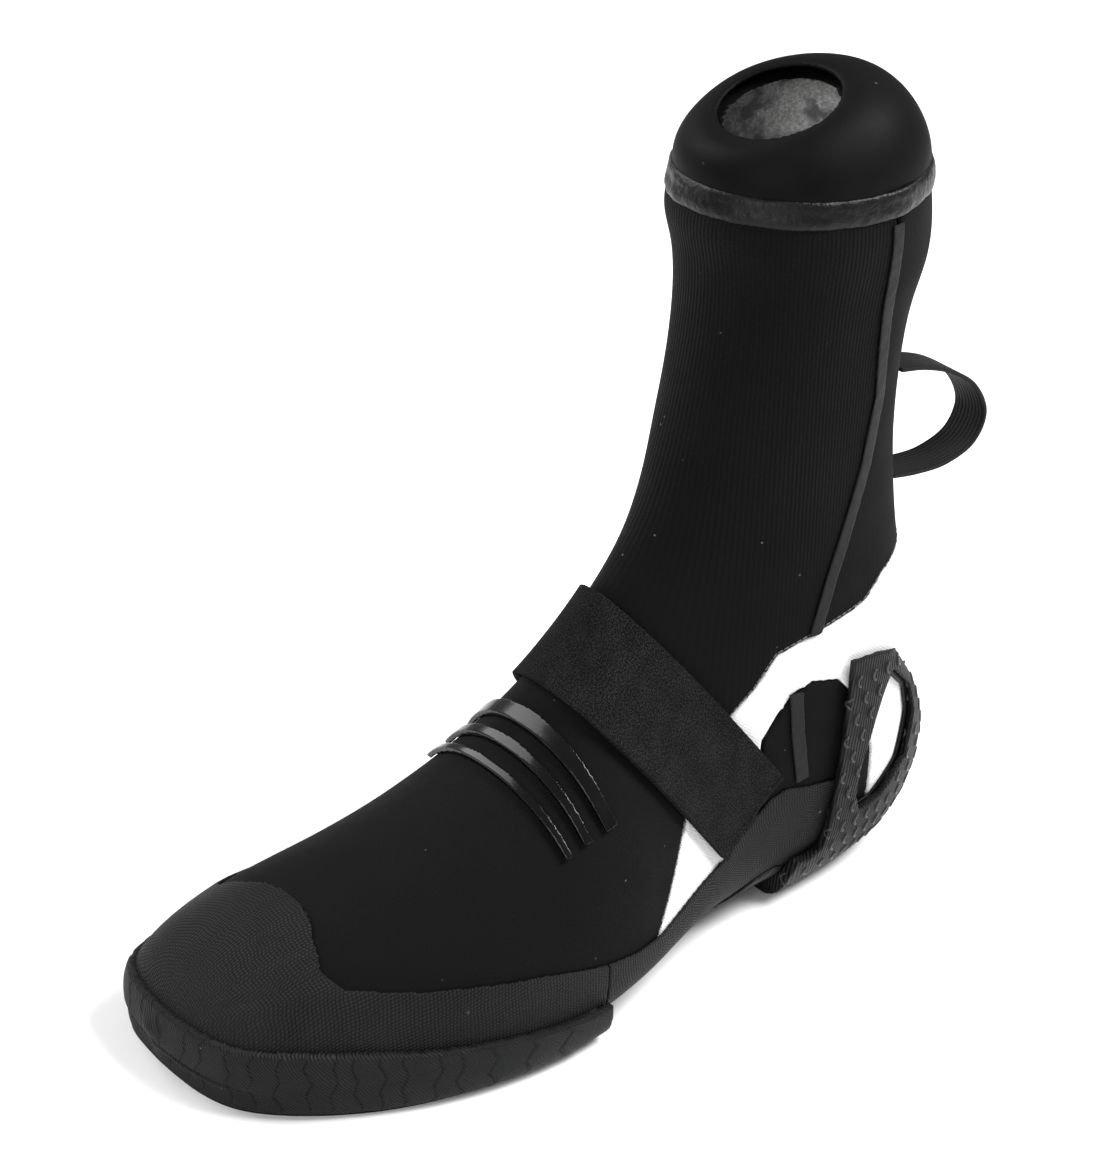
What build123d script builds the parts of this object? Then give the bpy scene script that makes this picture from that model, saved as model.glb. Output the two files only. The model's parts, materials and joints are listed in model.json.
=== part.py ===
"""Split-soled neoprene water boot for the left foot.

The toe points to -Y, the heel to +Y, the outer side of the foot to +X and +Z is up.
The origin is on the floor under the middle of the boot.  Every soft layer is cut from
one lofted foot form, grown or shrunk by the layer's distance from the neoprene skin.
"""
import math
import os

from build123d import *

# Overall sizes, millimetres
SOLE_LENGTH = 297.0        # toe bumper to heel cage
BOOT_HEIGHT = 290.0        # floor to the rim of the cuff opening
FOREFOOT_WIDTH = 108.0     # across the outsole at the ball of the foot

# Sizes of the base pattern, which the pattern points below are drawn for
PATTERN_LENGTH = 297.0
PATTERN_HEIGHT = 290.0
PATTERN_WIDTH = 108.0
BACK_SHIFT = -14.0         # moves the pattern so that the origin is mid-way along
SIDE_SHIFT = -2.0          # moves the leg's middle so that the origin is mid-way across

# Layers
NEOPRENE = 3.0
FLEECE = 1.2
GLUE_GAP = 0.2             # between one layer and the next
SEAM_GAP = 0.2             # between two panels of one layer
RAND_THICKNESS = 1.0
PLATE_THICKNESS = 1.8
TAPE_THICKNESS = 0.7
INSOLE_THICKNESS = 3.5
OUTSOLE_WALL = 3.4         # from the neoprene skin to the outside of the sole
COLLAR_WALL = 2.8
COLLAR_DROP = 1.6          # lowers the cuff's inside, so that its front wall is as thick

# Seams and trims
SEAM_TAPE_WIDTH = 5.0
HEEL_TAPE_WIDTH = 5.5
BACK_TAPE_WIDTH = 7.0
CUFF_TAPE_TOP = 250.0      # pattern height where the shaft's tape meets the cuff ring
CUFF_RING_HEIGHT = 7.0
CUFF_RING_THICKNESS = 1.6
BOTTOM_SEAM_HEIGHT = 14.0
MIDSOLE_EDGE_HEIGHT = 9.0

# Frames inside the heel cage's windows
FRAME_MARGIN = 3.0
FRAME_SETBACK = 3.0

# Instep strap
STRAP_WIDTH = 34.0
STRAP_THICKNESS = 1.8
STRAP_CLEARANCE = 0.5      # between the strap and the rand under it
STRAP_FOLD_DROP = 24.0     # from the top of the instep to either fold
STRAP_FOLD_GAP = 0.8
STRAP_TAIL_LENGTH = 46.0
HOOK_THICKNESS = 0.4
HOOK_LENGTH = 24.0
HOOK_MARGIN = 3.0
LANDING_THICKNESS = 0.6
LANDING_MARGIN = 4.0

# Flex ridges across the vamp: lower end, upper end (pattern points) and width
RIDGE_HEIGHT = 2.0
RIDGES = [
    ((-10.5, 72.0), (-17.0, 104.0), 5.0),
    ((-20.0, 70.0), (-24.5, 100.0), 3.2),
    ((-27.5, 67.5), (-32.5, 96.0), 2.6),
]

# Pull loop
LOOP_WIDTH = 15.0
LOOP_THICKNESS = 1.6
LOOP_TAB_LENGTH = 16.0

REACH = 120.0              # longer than the boot is wide

# The foot form, toe to cuff.  Each row is one section across the foot:
# top point (y, z), bottom or back point (y, z), half width, sideways shift,
# roundness of the upper and of the lower half, height of the widest place,
# and how far the sole reaches past the bottom point.
TOE_TIP = (-142.4, 15.0, -19.0)
SOLE_TIP = (-144.4, 14.0, -19.0)    # the sole's toe bumper, before its wall is added
STATIONS = [
    (-140.2, 19.2, -140.2, 8.8, 12.0, -19.0, 2.2, 3.0, -0.1, 7.0),
    (-135.0, 29.0, -136.0, 6.0, 27.5, -16.5, 2.2, 3.6, -0.2, 6.0),
    (-122.0, 42.0, -124.0, 5.0, 38.0, -11.0, 2.2, 4.0, -0.3, 5.0),
    (-103.0, 52.5, -105.0, 4.5, 45.0, -6.0, 2.2, 4.2, -0.4, 5.0),
    (-80.0, 60.5, -82.0, 4.5, 49.0, 0.0, 2.2, 4.2, -0.4, 5.0),
    (-55.0, 69.0, -54.0, 4.5, 51.0, 4.0, 2.2, 4.0, -0.4, 5.0),
    (-32.0, 80.0, -24.0, 5.5, 50.0, 5.0, 2.2, 3.8, -0.4, 6.0),
    (-12.0, 95.0, 10.0, 8.0, 44.5, 4.0, 2.2, 3.4, -0.4, 7.0),
    (4.0, 112.0, 52.0, 8.0, 34.5, 1.0, 2.2, 3.0, -0.3, 7.0),
    (17.0, 129.0, 95.0, 6.0, 30.5, 0.0, 2.1, 2.8, -0.2, 6.0),
    (29.0, 144.0, 134.0, 13.0, 32.0, 0.0, 2.1, 2.3, 0.0, 3.5),
    (38.0, 163.0, 146.0, 56.0, 32.5, 0.0, 2.1, 2.2, 0.1, 0.0),
    (44.0, 186.0, 136.0, 112.0, 32.5, 0.0, 2.1, 2.1, 0.1, 0.0),
    (49.0, 212.0, 127.0, 163.0, 33.0, 0.0, 2.1, 2.1, 0.0, 0.0),
    (49.0, 238.0, 130.0, 212.0, 36.0, 0.0, 2.1, 2.1, 0.0, 0.0),
    (49.5, 258.0, 132.0, 258.0, 37.5, 0.0, 2.1, 2.1, 0.0, 0.0),
]
SOLE_STATIONS = STATIONS[:13]
COLLAR_STATIONS = [
    (49.5, 258.2, 132.0, 258.2, 37.5, 0.0, 2.1, 2.1, 0.0, 0.0),
    (49.8, 266.0, 130.0, 272.0, 36.5, 0.0, 2.1, 2.1, 0.0, 0.0),
    (52.5, 271.5, 121.0, 284.5, 31.5, 0.0, 2.0, 2.0, 0.0, 0.0),
    (59.0, 274.5, 101.0, 289.5, 22.5, 0.0, 2.0, 2.0, 0.0, 0.0),
]

# Lines of the pattern, seen from the side: (y, z)
SHAFT_SEAM = [(98, 262), (98.5, 226), (101, 189), (97, 165), (91, 146), (85, 128), (79.5, 108)]
QUARTER_TOP = [(79.5, 108), (102, 113), (111, 120), (123, 123.5), (140, 127)]
STRAP_SEAM = [(-20, 148), (38, 72.5)]      # across the instep, hidden under the strap
QUARTER_FRONT = [(79.5, 108), (66, 104), (58, 93), (49, 85), STRAP_SEAM[1], (27, 60), (7, 29)]
STRAP_TOP = (5.5, 113.5)
STRAP_END = (57.5, 45.0)
HEEL_PATCH = [
    (62, 14), (60.5, 60), (62, 73), (72, 87), (80, 90), (92, 87), (102, 76), (112, 52), (117, 14),
]
HEEL_PATCH_SEAM = [(73, 92), (75.5, 72), (79.5, 52)]
TOE_CAP_EDGE = [
    (-96, 90), (-97, 57), (-103.5, 51), (-107, 45), (-104, 41.5), (-90, 40.5), (-68, 39.5),
    (-45, 37), (-20, 31),
]
MID_RAND_EDGE = [
    (-20, 31), (-6, 28.7), (7, 28.7), (23, 32), (43.5, 36), (54, 42), (66, 49.5), (73, 51),
    (83, 48.5), (97, 47),
]
ARCH_PLATE_EDGE = [(-17.5, 8), (20, 9), (48, 11), (62, 17), (72, 18.5), (77, 16)]
SOLE_EDGE = [
    (-160, 21), (-150, 20), (-137, 22.5), (-123, 24.4), (-105, 23.6), (-86, 21.8), (-63, 20),
    (-42, 17.7), (-19, 15.8),
]
CAGE_EDGE = [
    (77.5, -5), (77.5, 13), (80, 18.5), (86, 17.5), (91.5, 20), (93.5, 42), (94.5, 80),
    (95, 94.5), (108.5, 93), (134, 85), (170, 78), (170, -5),
]
CAGE_WINDOW = [
    (116.5, 83), (112, 75), (106.5, 58), (104, 48), (103.5, 38), (107, 30), (118.5, 31),
    (131, 41), (134, 58), (129, 71),
]
LOOP_PATH = [
    (138, 178.5), (147, 176.5), (157, 172.5), (168.5, 164.5), (174.5, 153), (170, 143),
    (158, 138.5), (147, 138.3), (138, 139.3),
]

grade_y = SOLE_LENGTH / PATTERN_LENGTH
grade_z = BOOT_HEIGHT / PATTERN_HEIGHT
grade_x = FOREFOOT_WIDTH / PATTERN_WIDTH
middle_x = SIDE_SHIFT * grade_x

SECTION_POINTS = 20
rand_outer = GLUE_GAP + RAND_THICKNESS
cage_inner = rand_outer + GLUE_GAP
strap_inner = rand_outer + STRAP_CLEARANCE


def at(y, z):
    """A pattern point at this boot's size, as (y, z)."""
    return ((y + BACK_SHIFT) * grade_y, z * grade_z)


def outline(points):
    """Pattern points at this boot's size."""
    return [at(y, z) for y, z in points]


def section_face(station, growth, with_sole):
    """One closed section across the foot, grown outwards by growth."""
    top_y, top_z, low_y, low_z, half_width, shift, upper, lower, widest, sole = station
    top = Vector(0, *at(top_y, top_z))
    low = Vector(0, *at(low_y, low_z))
    up = (top - low).normalized()
    if with_sole:
        low = low - up * sole
    middle = (top + low) * 0.5
    half_height = (top - low).length / 2 + growth
    half_width = half_width * grade_x + growth
    points = []
    for step in range(SECTION_POINTS):
        turn = 2 * math.pi * step / SECTION_POINTS
        side, rise = math.sin(turn), math.cos(turn)
        power = 2 / (upper if rise >= 0 else lower)
        reach = half_height * ((1 - widest) if rise >= 0 else (1 + widest))
        across = math.copysign(abs(side) ** power, side) * half_width
        along = widest * half_height + math.copysign(abs(rise) ** power, rise) * reach
        points.append((across, along))
    place = Vector((shift + SIDE_SHIFT) * grade_x, middle.Y, middle.Z)
    plane = Plane(origin=place, x_dir=(1, 0, 0), z_dir=Vector(1, 0, 0).cross(up))
    steps = [step / SECTION_POINTS for step in range(SECTION_POINTS + 1)]
    with BuildSketch(plane) as section:
        with BuildLine():
            add(Edge.make_spline(points, periodic=True, parameters=steps))
        make_face()
    return section.sketch


def foot_form(growth, stations=STATIONS, with_sole=False):
    """The solid inside the neoprene skin, grown outwards by growth."""
    tip_y, tip_z, tip_x = SOLE_TIP if with_sole else TOE_TIP
    y, z = at(tip_y, tip_z)
    tip = Vertex((tip_x + SIDE_SHIFT) * grade_x, y - growth, z)
    sections = [section_face(station, growth, with_sole) for station in stations]
    with BuildPart() as form:
        loft([tip] + sections)
    return form.part


def collar_form(growth):
    """The cuff's dome, from the seam ring to the slanted opening."""
    with BuildPart() as form:
        loft([section_face(station, growth, False) for station in COLLAR_STATIONS])
    return form.part


def collar_hollow(growth, drop):
    """What a layer of the cuff goes round, lowered by drop and open at the mouth."""
    mouth = section_face(COLLAR_STATIONS[-1], growth, False)
    with BuildPart() as hollow:
        with Locations((0, 0, -drop)):
            add(collar_form(growth))
        extrude(mouth, amount=2 * drop + 4, both=True)
    return hollow.part


def layer(inner, outer):
    """What lies between two solids, the second around the first."""
    with BuildPart() as between:
        add(outer)
        add(inner, mode=Mode.SUBTRACT)
    return between.part


def drawn_in(points, gap):
    """The same closed outline with every edge moved inwards by gap."""
    corners = [Vector(y, z) for y, z in points]
    pairs = list(zip(corners, corners[1:] + corners[:1]))
    turn = math.copysign(1, sum(a.X * b.Y - b.X * a.Y for a, b in pairs))
    edges = [(b - a).normalized() for a, b in pairs]
    inwards = [Vector(-edge.Y, edge.X) * turn for edge in edges]
    moved = []
    for index, corner in enumerate(corners):
        before, after = inwards[index - 1], inwards[index]
        moved.append(corner + (before + after) * (gap / (1 + before.dot(after))))
    return moved


def side_region(points, plane=Plane.YZ, gap=SEAM_GAP / 2):
    """A closed region seen from the side, drawn in by half a seam gap."""
    with BuildSketch(plane) as region:
        with BuildLine():
            Polyline(*drawn_in(points, gap), close=True)
        make_face()
    return region.sketch


def stripe(points, width, plane=Plane.YZ):
    """A strip of even width along a line seen from the side."""
    with BuildSketch(plane) as strip:
        with BuildLine():
            Polyline(*points)
        trace(line_width=width)
    return strip.sketch


outer_side = Plane.YZ.offset(middle_x + SEAM_GAP / 2)
inner_side = Plane.YZ.offset(middle_x - SEAM_GAP / 2)
sides = {"lateral": (outer_side, REACH), "medial": (inner_side, -REACH)}
far_toe, far_heel = at(-190, 0)[0], at(200, 0)[0]
far_top, far_low = at(0, 320)[1], -30.0

# Solids that the layers are cut from
skin = foot_form(0)
skin_inner = foot_form(-NEOPRENE)
lining_outer = foot_form(-NEOPRENE - GLUE_GAP)
lining_inner = foot_form(-NEOPRENE - GLUE_GAP - FLEECE)
rand_form = foot_form(rand_outer)
glue_form = foot_form(GLUE_GAP)
cage_form = foot_form(cage_inner)
sole_form = foot_form(OUTSOLE_WALL, SOLE_STATIONS, with_sole=True)
neoprene_layer = layer(skin_inner, skin)
rand_layer = layer(glue_form, rand_form)
tape_layer = layer(glue_form, foot_form(GLUE_GAP + TAPE_THICKNESS))
ridge_layer = layer(glue_form, foot_form(GLUE_GAP + RIDGE_HEIGHT))
plate_layer = layer(glue_form, foot_form(GLUE_GAP + PLATE_THICKNESS, SOLE_STATIONS))
ring_layer = layer(glue_form, foot_form(GLUE_GAP + CUFF_RING_THICKNESS))
strap_layer = layer(foot_form(strap_inner), foot_form(strap_inner + STRAP_THICKNESS))
landing_layer = layer(glue_form, foot_form(GLUE_GAP + LANDING_THICKNESS))
hook_layer = layer(
    foot_form(strap_inner - HOOK_THICKNESS - SEAM_GAP / 2), foot_form(strap_inner - SEAM_GAP / 2)
)

# Neoprene panels
bottom_line = BOTTOM_SEAM_HEIGHT
strap_seam = outline(STRAP_SEAM)
quarter_front = outline(QUARTER_FRONT)
waist_y = at(0, 0)[0]
vamp_region = side_region(
    [(far_toe, bottom_line), (far_toe, far_top)]
    + strap_seam
    + quarter_front[5:]
    + [(waist_y, bottom_line)]
)
shaft_front_region = side_region(
    [(far_toe, far_top)]
    + strap_seam
    + quarter_front[3:0:-1]
    + outline(SHAFT_SEAM)[::-1]
    + [(at(98, 0)[0], far_top)]
)
shaft_back_region = side_region(
    [(far_heel, far_top), (at(98, 0)[0], far_top)]
    + outline(SHAFT_SEAM)
    + outline(QUARTER_TOP)[1:]
    + [(far_heel, at(0, 130)[1])]
)
with BuildPart() as vamp_panel:
    add(neoprene_layer)
    extrude(vamp_region, amount=REACH, both=True, mode=Mode.INTERSECT)
vamp_panel.part.label = "vamp_panel"

with BuildPart() as shaft_front_panel:
    add(neoprene_layer)
    extrude(shaft_front_region, amount=REACH, both=True, mode=Mode.INTERSECT)
shaft_front_panel.part.label = "shaft_front_panel"

with BuildPart() as shaft_back_panel:
    add(neoprene_layer)
    extrude(shaft_back_region, amount=REACH, both=True, mode=Mode.INTERSECT)
shaft_back_panel.part.label = "shaft_back_panel"

bottom_region = side_region(
    [(far_toe, far_low), (far_heel, far_low), (far_heel, bottom_line), (far_toe, bottom_line)]
)
with BuildPart() as bottom_panel:
    add(neoprene_layer)
    extrude(bottom_region, amount=REACH, both=True, mode=Mode.INTERSECT)
bottom_panel.part.label = "bottom_panel"

nodes = [vamp_panel, shaft_front_panel, shaft_back_panel, bottom_panel]

for side, (plane, reach) in sides.items():
    patch_region = side_region(outline(HEEL_PATCH), plane)
    patch_hole = side_region(outline(HEEL_PATCH), plane, gap=-SEAM_GAP / 2)
    quarter_region = side_region(
        outline(QUARTER_TOP)[::-1]
        + quarter_front[1:]
        + [(waist_y, bottom_line), (far_heel, bottom_line), (far_heel, at(0, 127)[1])],
        plane,
    )
    with BuildPart() as quarter_panel:
        add(neoprene_layer)
        extrude(quarter_region, amount=reach, mode=Mode.INTERSECT)
        extrude(patch_hole, amount=reach, mode=Mode.SUBTRACT)
    quarter_panel.part.label = f"quarter_panel_{side}"
    low_cut = side_region(
        [(far_toe, bottom_line), (far_heel, bottom_line), (far_heel, far_top), (far_toe, far_top)],
        plane,
    )
    with BuildPart() as heel_patch:
        add(neoprene_layer)
        extrude(patch_region, amount=reach, mode=Mode.INTERSECT)
        extrude(low_cut, amount=reach, mode=Mode.INTERSECT)
    heel_patch.part.label = f"heel_patch_{side}"
    nodes += [quarter_panel, heel_patch]

# Lining and insole
with BuildPart() as fleece_lining:
    add(lining_outer)
    add(lining_inner, mode=Mode.SUBTRACT)
fleece_lining.part.label = "fleece_lining"

cavity_wall = NEOPRENE + FLEECE + 2 * GLUE_GAP
insole_top = [
    (y, z + cavity_wall + INSOLE_THICKNESS) for y, z in outline([row[2:4] for row in STATIONS[2:10]])
]
insole_region = side_region(
    [(far_toe, far_low), (far_toe, insole_top[0][1])]
    + insole_top
    + [(far_heel, insole_top[-1][1]), (far_heel, far_low)]
)
with BuildPart() as insole:
    add(foot_form(-cavity_wall))
    extrude(insole_region, amount=REACH, both=True, mode=Mode.INTERSECT)
insole.part.label = "insole"
nodes += [fleece_lining, insole]

# Cuff
with BuildPart() as cuff_collar:
    add(collar_form(0))
    add(collar_hollow(-COLLAR_WALL, COLLAR_DROP), mode=Mode.SUBTRACT)
cuff_collar.part.label = "cuff_collar"

lining_start = COLLAR_WALL + GLUE_GAP
lining_drop = COLLAR_DROP + GLUE_GAP
collar_floor = side_region(
    [(far_toe, at(0, 258.2)[1]), (far_heel, at(0, 258.2)[1]), (far_heel, far_top), (far_toe, far_top)],
    gap=0,
)
with BuildPart() as collar_lining:
    with Locations((0, 0, -lining_drop)):
        add(collar_form(-lining_start))
    add(collar_hollow(-lining_start - FLEECE, lining_drop + FLEECE / 2), mode=Mode.SUBTRACT)
    extrude(collar_floor, amount=REACH, both=True, mode=Mode.INTERSECT)
collar_lining.part.label = "collar_lining"

ring_top = at(0, STATIONS[-1][1])[1]
ring_region = side_region(
    [
        (far_toe, ring_top - CUFF_RING_HEIGHT),
        (far_heel, ring_top - CUFF_RING_HEIGHT),
        (far_heel, ring_top + 5),
        (far_toe, ring_top + 5),
    ]
)
with BuildPart() as cuff_seam_ring:
    add(ring_layer)
    extrude(ring_region, amount=REACH, both=True, mode=Mode.INTERSECT)
cuff_seam_ring.part.label = "cuff_seam_ring"
nodes += [cuff_collar, collar_lining, cuff_seam_ring]

# Rubberised rands, arch plate and midsoles
midsole_top = MIDSOLE_EDGE_HEIGHT
cap_region = side_region(
    outline(TOE_CAP_EDGE)
    + [(at(-20, 0)[0], midsole_top), (far_toe, midsole_top), (far_toe, far_top)]
    + [(at(-96, 0)[0], far_top)]
)
with BuildPart() as toe_cap_rand:
    add(rand_layer)
    extrude(cap_region, amount=REACH, both=True, mode=Mode.INTERSECT)
toe_cap_rand.part.label = "toe_cap_rand"

plate_region = side_region(
    [(at(-17.5, 0)[0], far_low)] + outline(ARCH_PLATE_EDGE) + [(at(77, 0)[0], far_low)]
)
with BuildPart() as arch_plate:
    add(plate_layer)
    extrude(plate_region, amount=REACH, both=True, mode=Mode.INTERSECT)
arch_plate.part.label = "arch_plate"
nodes += [toe_cap_rand, arch_plate]

for side, (plane, reach) in sides.items():
    mid_region = side_region(
        outline(MID_RAND_EDGE)
        + [(at(97, 0)[0], midsole_top), (at(77, 0)[0], midsole_top)]
        + outline(ARCH_PLATE_EDGE)[::-1]
        + [(at(-20, 0)[0], midsole_top)],
        plane,
    )
    with BuildPart() as midfoot_rand:
        add(rand_layer)
        extrude(mid_region, amount=reach, mode=Mode.INTERSECT)
    midfoot_rand.part.label = f"midfoot_rand_{side}"
    nodes.append(midfoot_rand)

midsole_ends = {"midsole_front": (-190, -20.3), "midsole_heel": (77.5, 200)}
for label, (toe_end, heel_end) in midsole_ends.items():
    start, end = at(toe_end, 0)[0], at(heel_end, 0)[0]
    midsole_region = side_region(
        [(start, far_low), (end, far_low), (end, midsole_top), (start, midsole_top)]
    )
    with BuildPart() as midsole:
        add(rand_layer)
        extrude(midsole_region, amount=REACH, both=True, mode=Mode.INTERSECT)
    midsole.part.label = label
    nodes.append(midsole)

# Moulded rubber: front outsole, heel cage and the frames inside its windows
sole_region = side_region(
    outline(SOLE_EDGE) + [(at(-18, 0)[0], 0), (far_toe, 0)],
    gap=0,
)
with BuildPart() as outsole_front:
    add(sole_form)
    extrude(sole_region, amount=REACH, both=True, mode=Mode.INTERSECT)
    add(cage_form, mode=Mode.SUBTRACT)
outsole_front.part.label = "outsole_front"

cage_region = side_region([(y, max(z, 0)) for y, z in outline(CAGE_EDGE)], gap=0)
window_region = side_region(outline(CAGE_WINDOW), gap=0)
with BuildPart() as heel_cage:
    add(sole_form)
    extrude(cage_region, amount=REACH, both=True, mode=Mode.INTERSECT)
    add(cage_form, mode=Mode.SUBTRACT)
    extrude(window_region, amount=REACH, both=True, mode=Mode.SUBTRACT)
heel_cage.part.label = "heel_cage"
nodes += [outsole_front, heel_cage]

window_inner = [(y - FRAME_SETBACK, z) for y, z in outline(CAGE_WINDOW)]
for side, (plane, reach) in sides.items():
    frame_region = side_region(outline(CAGE_WINDOW), plane, gap=-FRAME_MARGIN)
    frame_hole = side_region(window_inner, plane, gap=0)
    with BuildPart() as heel_frame:
        add(rand_layer)
        extrude(frame_region, amount=reach, mode=Mode.INTERSECT)
        extrude(frame_hole, amount=reach, mode=Mode.SUBTRACT)
    heel_frame.part.label = f"heel_frame_{side}"
    nodes.append(heel_frame)

# Seam tapes
shaft_tape_line = outline([(98, CUFF_TAPE_TOP)] + SHAFT_SEAM[1:] + [(78.5, 105)])
heel_tape_line = outline(HEEL_PATCH_SEAM)
for side, (plane, reach) in sides.items():
    shaft_tape_region = stripe(shaft_tape_line, SEAM_TAPE_WIDTH, plane)
    with BuildPart() as seam_tape:
        add(tape_layer)
        extrude(shaft_tape_region, amount=reach, mode=Mode.INTERSECT)
    seam_tape.part.label = f"seam_tape_{side}"
    heel_tape_region = stripe(heel_tape_line, HEEL_TAPE_WIDTH, plane)
    with BuildPart() as heel_tape:
        add(tape_layer)
        extrude(heel_tape_region, amount=reach, mode=Mode.INTERSECT)
    heel_tape.part.label = f"heel_tape_{side}"
    nodes += [seam_tape, heel_tape]

back_low, back_high = at(0, 44)[1], at(0, 130)[1]
with BuildSketch(Plane.XZ.offset(-far_heel)) as back_strip:
    with Locations((middle_x, (back_low + back_high) / 2)):
        Rectangle(BACK_TAPE_WIDTH, back_high - back_low)
with BuildPart() as back_seam_tape:
    add(tape_layer)
    extrude(back_strip.sketch, amount=far_heel - at(100, 0)[0], mode=Mode.INTERSECT)
back_seam_tape.part.label = "back_seam_tape"
nodes.append(back_seam_tape)

# Flex ridges
with BuildSketch(Plane.YZ) as ridge_strips:
    for low_end, high_end, width in RIDGES:
        with BuildLine():
            Line(at(*low_end), at(*high_end))
        trace(line_width=width)
with BuildPart() as instep_ridges:
    add(ridge_layer)
    extrude(ridge_strips.sketch, amount=REACH, both=True, mode=Mode.INTERSECT)
instep_ridges.part.label = "instep_ridges"
nodes.append(instep_ridges)

# Instep strap.  It is sewn down outside, goes over the instep and is pressed to the
# inner side.  Seen from the side it is a straight band from strap_top to strap_end.
strap_top = Vector(*at(*STRAP_TOP))
strap_end = Vector(*at(*STRAP_END))
strap_down = (strap_end - strap_top).normalized()
strap_across = Vector(-strap_down.Y, strap_down.X)


def strap_band(start, end, width, plane=Plane.YZ):
    """The band's stretch from start to end, measured down from the top of the instep."""
    with BuildSketch(plane) as band:
        with BuildLine():
            Line(strap_top + strap_down * start, strap_top + strap_down * end)
        trace(line_width=width)
    return band.sketch


strap_length = (strap_end - strap_top).length
fold = STRAP_FOLD_DROP
fold_gap = STRAP_FOLD_GAP / 2
above = -40.0
base_band = strap_band(fold + fold_gap, strap_length, STRAP_WIDTH, outer_side)
top_band = strap_band(above, fold - fold_gap, STRAP_WIDTH)
tail_band = strap_band(fold + fold_gap, fold + STRAP_TAIL_LENGTH, STRAP_WIDTH, inner_side)
hook_band = strap_band(
    fold + fold_gap + HOOK_MARGIN,
    fold + HOOK_LENGTH,
    STRAP_WIDTH - 2 * HOOK_MARGIN,
    inner_side,
)
landing_band = strap_band(fold - LANDING_MARGIN, fold + HOOK_LENGTH + 2, STRAP_WIDTH + 2, inner_side)
with BuildPart() as strap_base:
    add(strap_layer)
    extrude(base_band, amount=REACH, mode=Mode.INTERSECT)
strap_base.part.label = "strap_base"

with BuildPart() as instep_strap:
    add(strap_layer)
    extrude(top_band, amount=REACH, both=True, mode=Mode.INTERSECT)
instep_strap.part.label = "instep_strap"

with BuildPart() as strap_tail:
    add(strap_layer)
    extrude(tail_band, amount=-REACH, mode=Mode.INTERSECT)
strap_tail.part.label = "strap_tail"

with BuildPart() as strap_hook_patch:
    add(hook_layer)
    extrude(hook_band, amount=-REACH, mode=Mode.INTERSECT)
strap_hook_patch.part.label = "strap_hook_patch"

with BuildPart() as strap_landing_patch:
    add(landing_layer)
    extrude(landing_band, amount=-REACH, mode=Mode.INTERSECT)
strap_landing_patch.part.label = "strap_landing_patch"
nodes += [strap_base, instep_strap, strap_tail, strap_hook_patch, strap_landing_patch]

# Pull loop and the tabs it is sewn to
with BuildSketch(Plane.YZ.offset(middle_x)) as loop_profile:
    with BuildLine():
        Spline(*outline(LOOP_PATH))
    trace(line_width=LOOP_THICKNESS)
with BuildPart() as pull_loop:
    extrude(loop_profile.sketch, amount=LOOP_WIDTH / 2, both=True)
pull_loop.part.label = "pull_loop"

loop_ends = [at(*LOOP_PATH[0])[1], at(*LOOP_PATH[-1])[1]]
with BuildSketch(Plane.XZ.offset(-far_heel)) as tab_shapes:
    for height in loop_ends:
        with Locations((middle_x, height)):
            Rectangle(LOOP_WIDTH, LOOP_TAB_LENGTH)
with BuildPart() as loop_tabs:
    add(rand_layer)
    extrude(tab_shapes.sketch, amount=far_heel - at(100, 0)[0], mode=Mode.INTERSECT)
loop_tabs.part.label = "loop_tabs"
nodes += [pull_loop, loop_tabs]

os.makedirs("parts", exist_ok=True)
for node in nodes:
    export_step(node.part, f"parts/{node.part.label}.step")
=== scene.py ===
"""Split-soled neoprene water boot: its looks, laid over the CAD frame."""

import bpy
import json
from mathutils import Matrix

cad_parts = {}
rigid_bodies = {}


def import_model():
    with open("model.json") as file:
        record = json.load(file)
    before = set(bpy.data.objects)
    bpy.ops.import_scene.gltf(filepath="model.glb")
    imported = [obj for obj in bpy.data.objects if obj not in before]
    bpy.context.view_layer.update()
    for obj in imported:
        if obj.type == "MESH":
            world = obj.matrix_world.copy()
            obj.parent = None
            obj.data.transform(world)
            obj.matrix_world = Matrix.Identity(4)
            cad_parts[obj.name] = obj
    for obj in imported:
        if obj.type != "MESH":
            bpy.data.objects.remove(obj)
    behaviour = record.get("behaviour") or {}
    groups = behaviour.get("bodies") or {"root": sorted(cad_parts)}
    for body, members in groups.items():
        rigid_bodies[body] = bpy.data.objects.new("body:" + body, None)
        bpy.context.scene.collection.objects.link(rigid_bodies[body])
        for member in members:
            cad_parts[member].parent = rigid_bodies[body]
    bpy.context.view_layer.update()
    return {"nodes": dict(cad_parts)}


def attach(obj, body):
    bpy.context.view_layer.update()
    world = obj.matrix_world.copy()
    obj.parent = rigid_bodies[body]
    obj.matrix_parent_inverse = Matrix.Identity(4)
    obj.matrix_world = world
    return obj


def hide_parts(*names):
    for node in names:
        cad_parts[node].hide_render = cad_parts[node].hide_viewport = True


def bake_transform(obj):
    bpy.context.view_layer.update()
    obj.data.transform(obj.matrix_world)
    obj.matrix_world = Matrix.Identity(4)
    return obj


bl_info = {
    "name": "Neoprene Water Boot",
    "version": (1, 0, 0),
    "blender": (4, 5, 0),
    "location": "View3D > Sidebar > Boot",
    "description": "Makes the panels, rands, rubber parts, strap and trims of a water boot",
    "category": "Object",
}

import json
import math

import bpy
import numpy as np
from bpy.props import FloatProperty, FloatVectorProperty, PointerProperty
from bpy.types import Operator, Panel, PropertyGroup
from mathutils import Matrix, Vector, noise
from mathutils.bvhtree import BVHTree

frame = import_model()

MM = 0.001

# Middles of the leg, the heel and the toe, seen from above
LEG_MIDDLE = (-2 * MM, 76 * MM)
HEEL_MIDDLE = (-2 * MM, 92 * MM)
TOE_MIDDLE = (0.0, -100 * MM)

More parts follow.
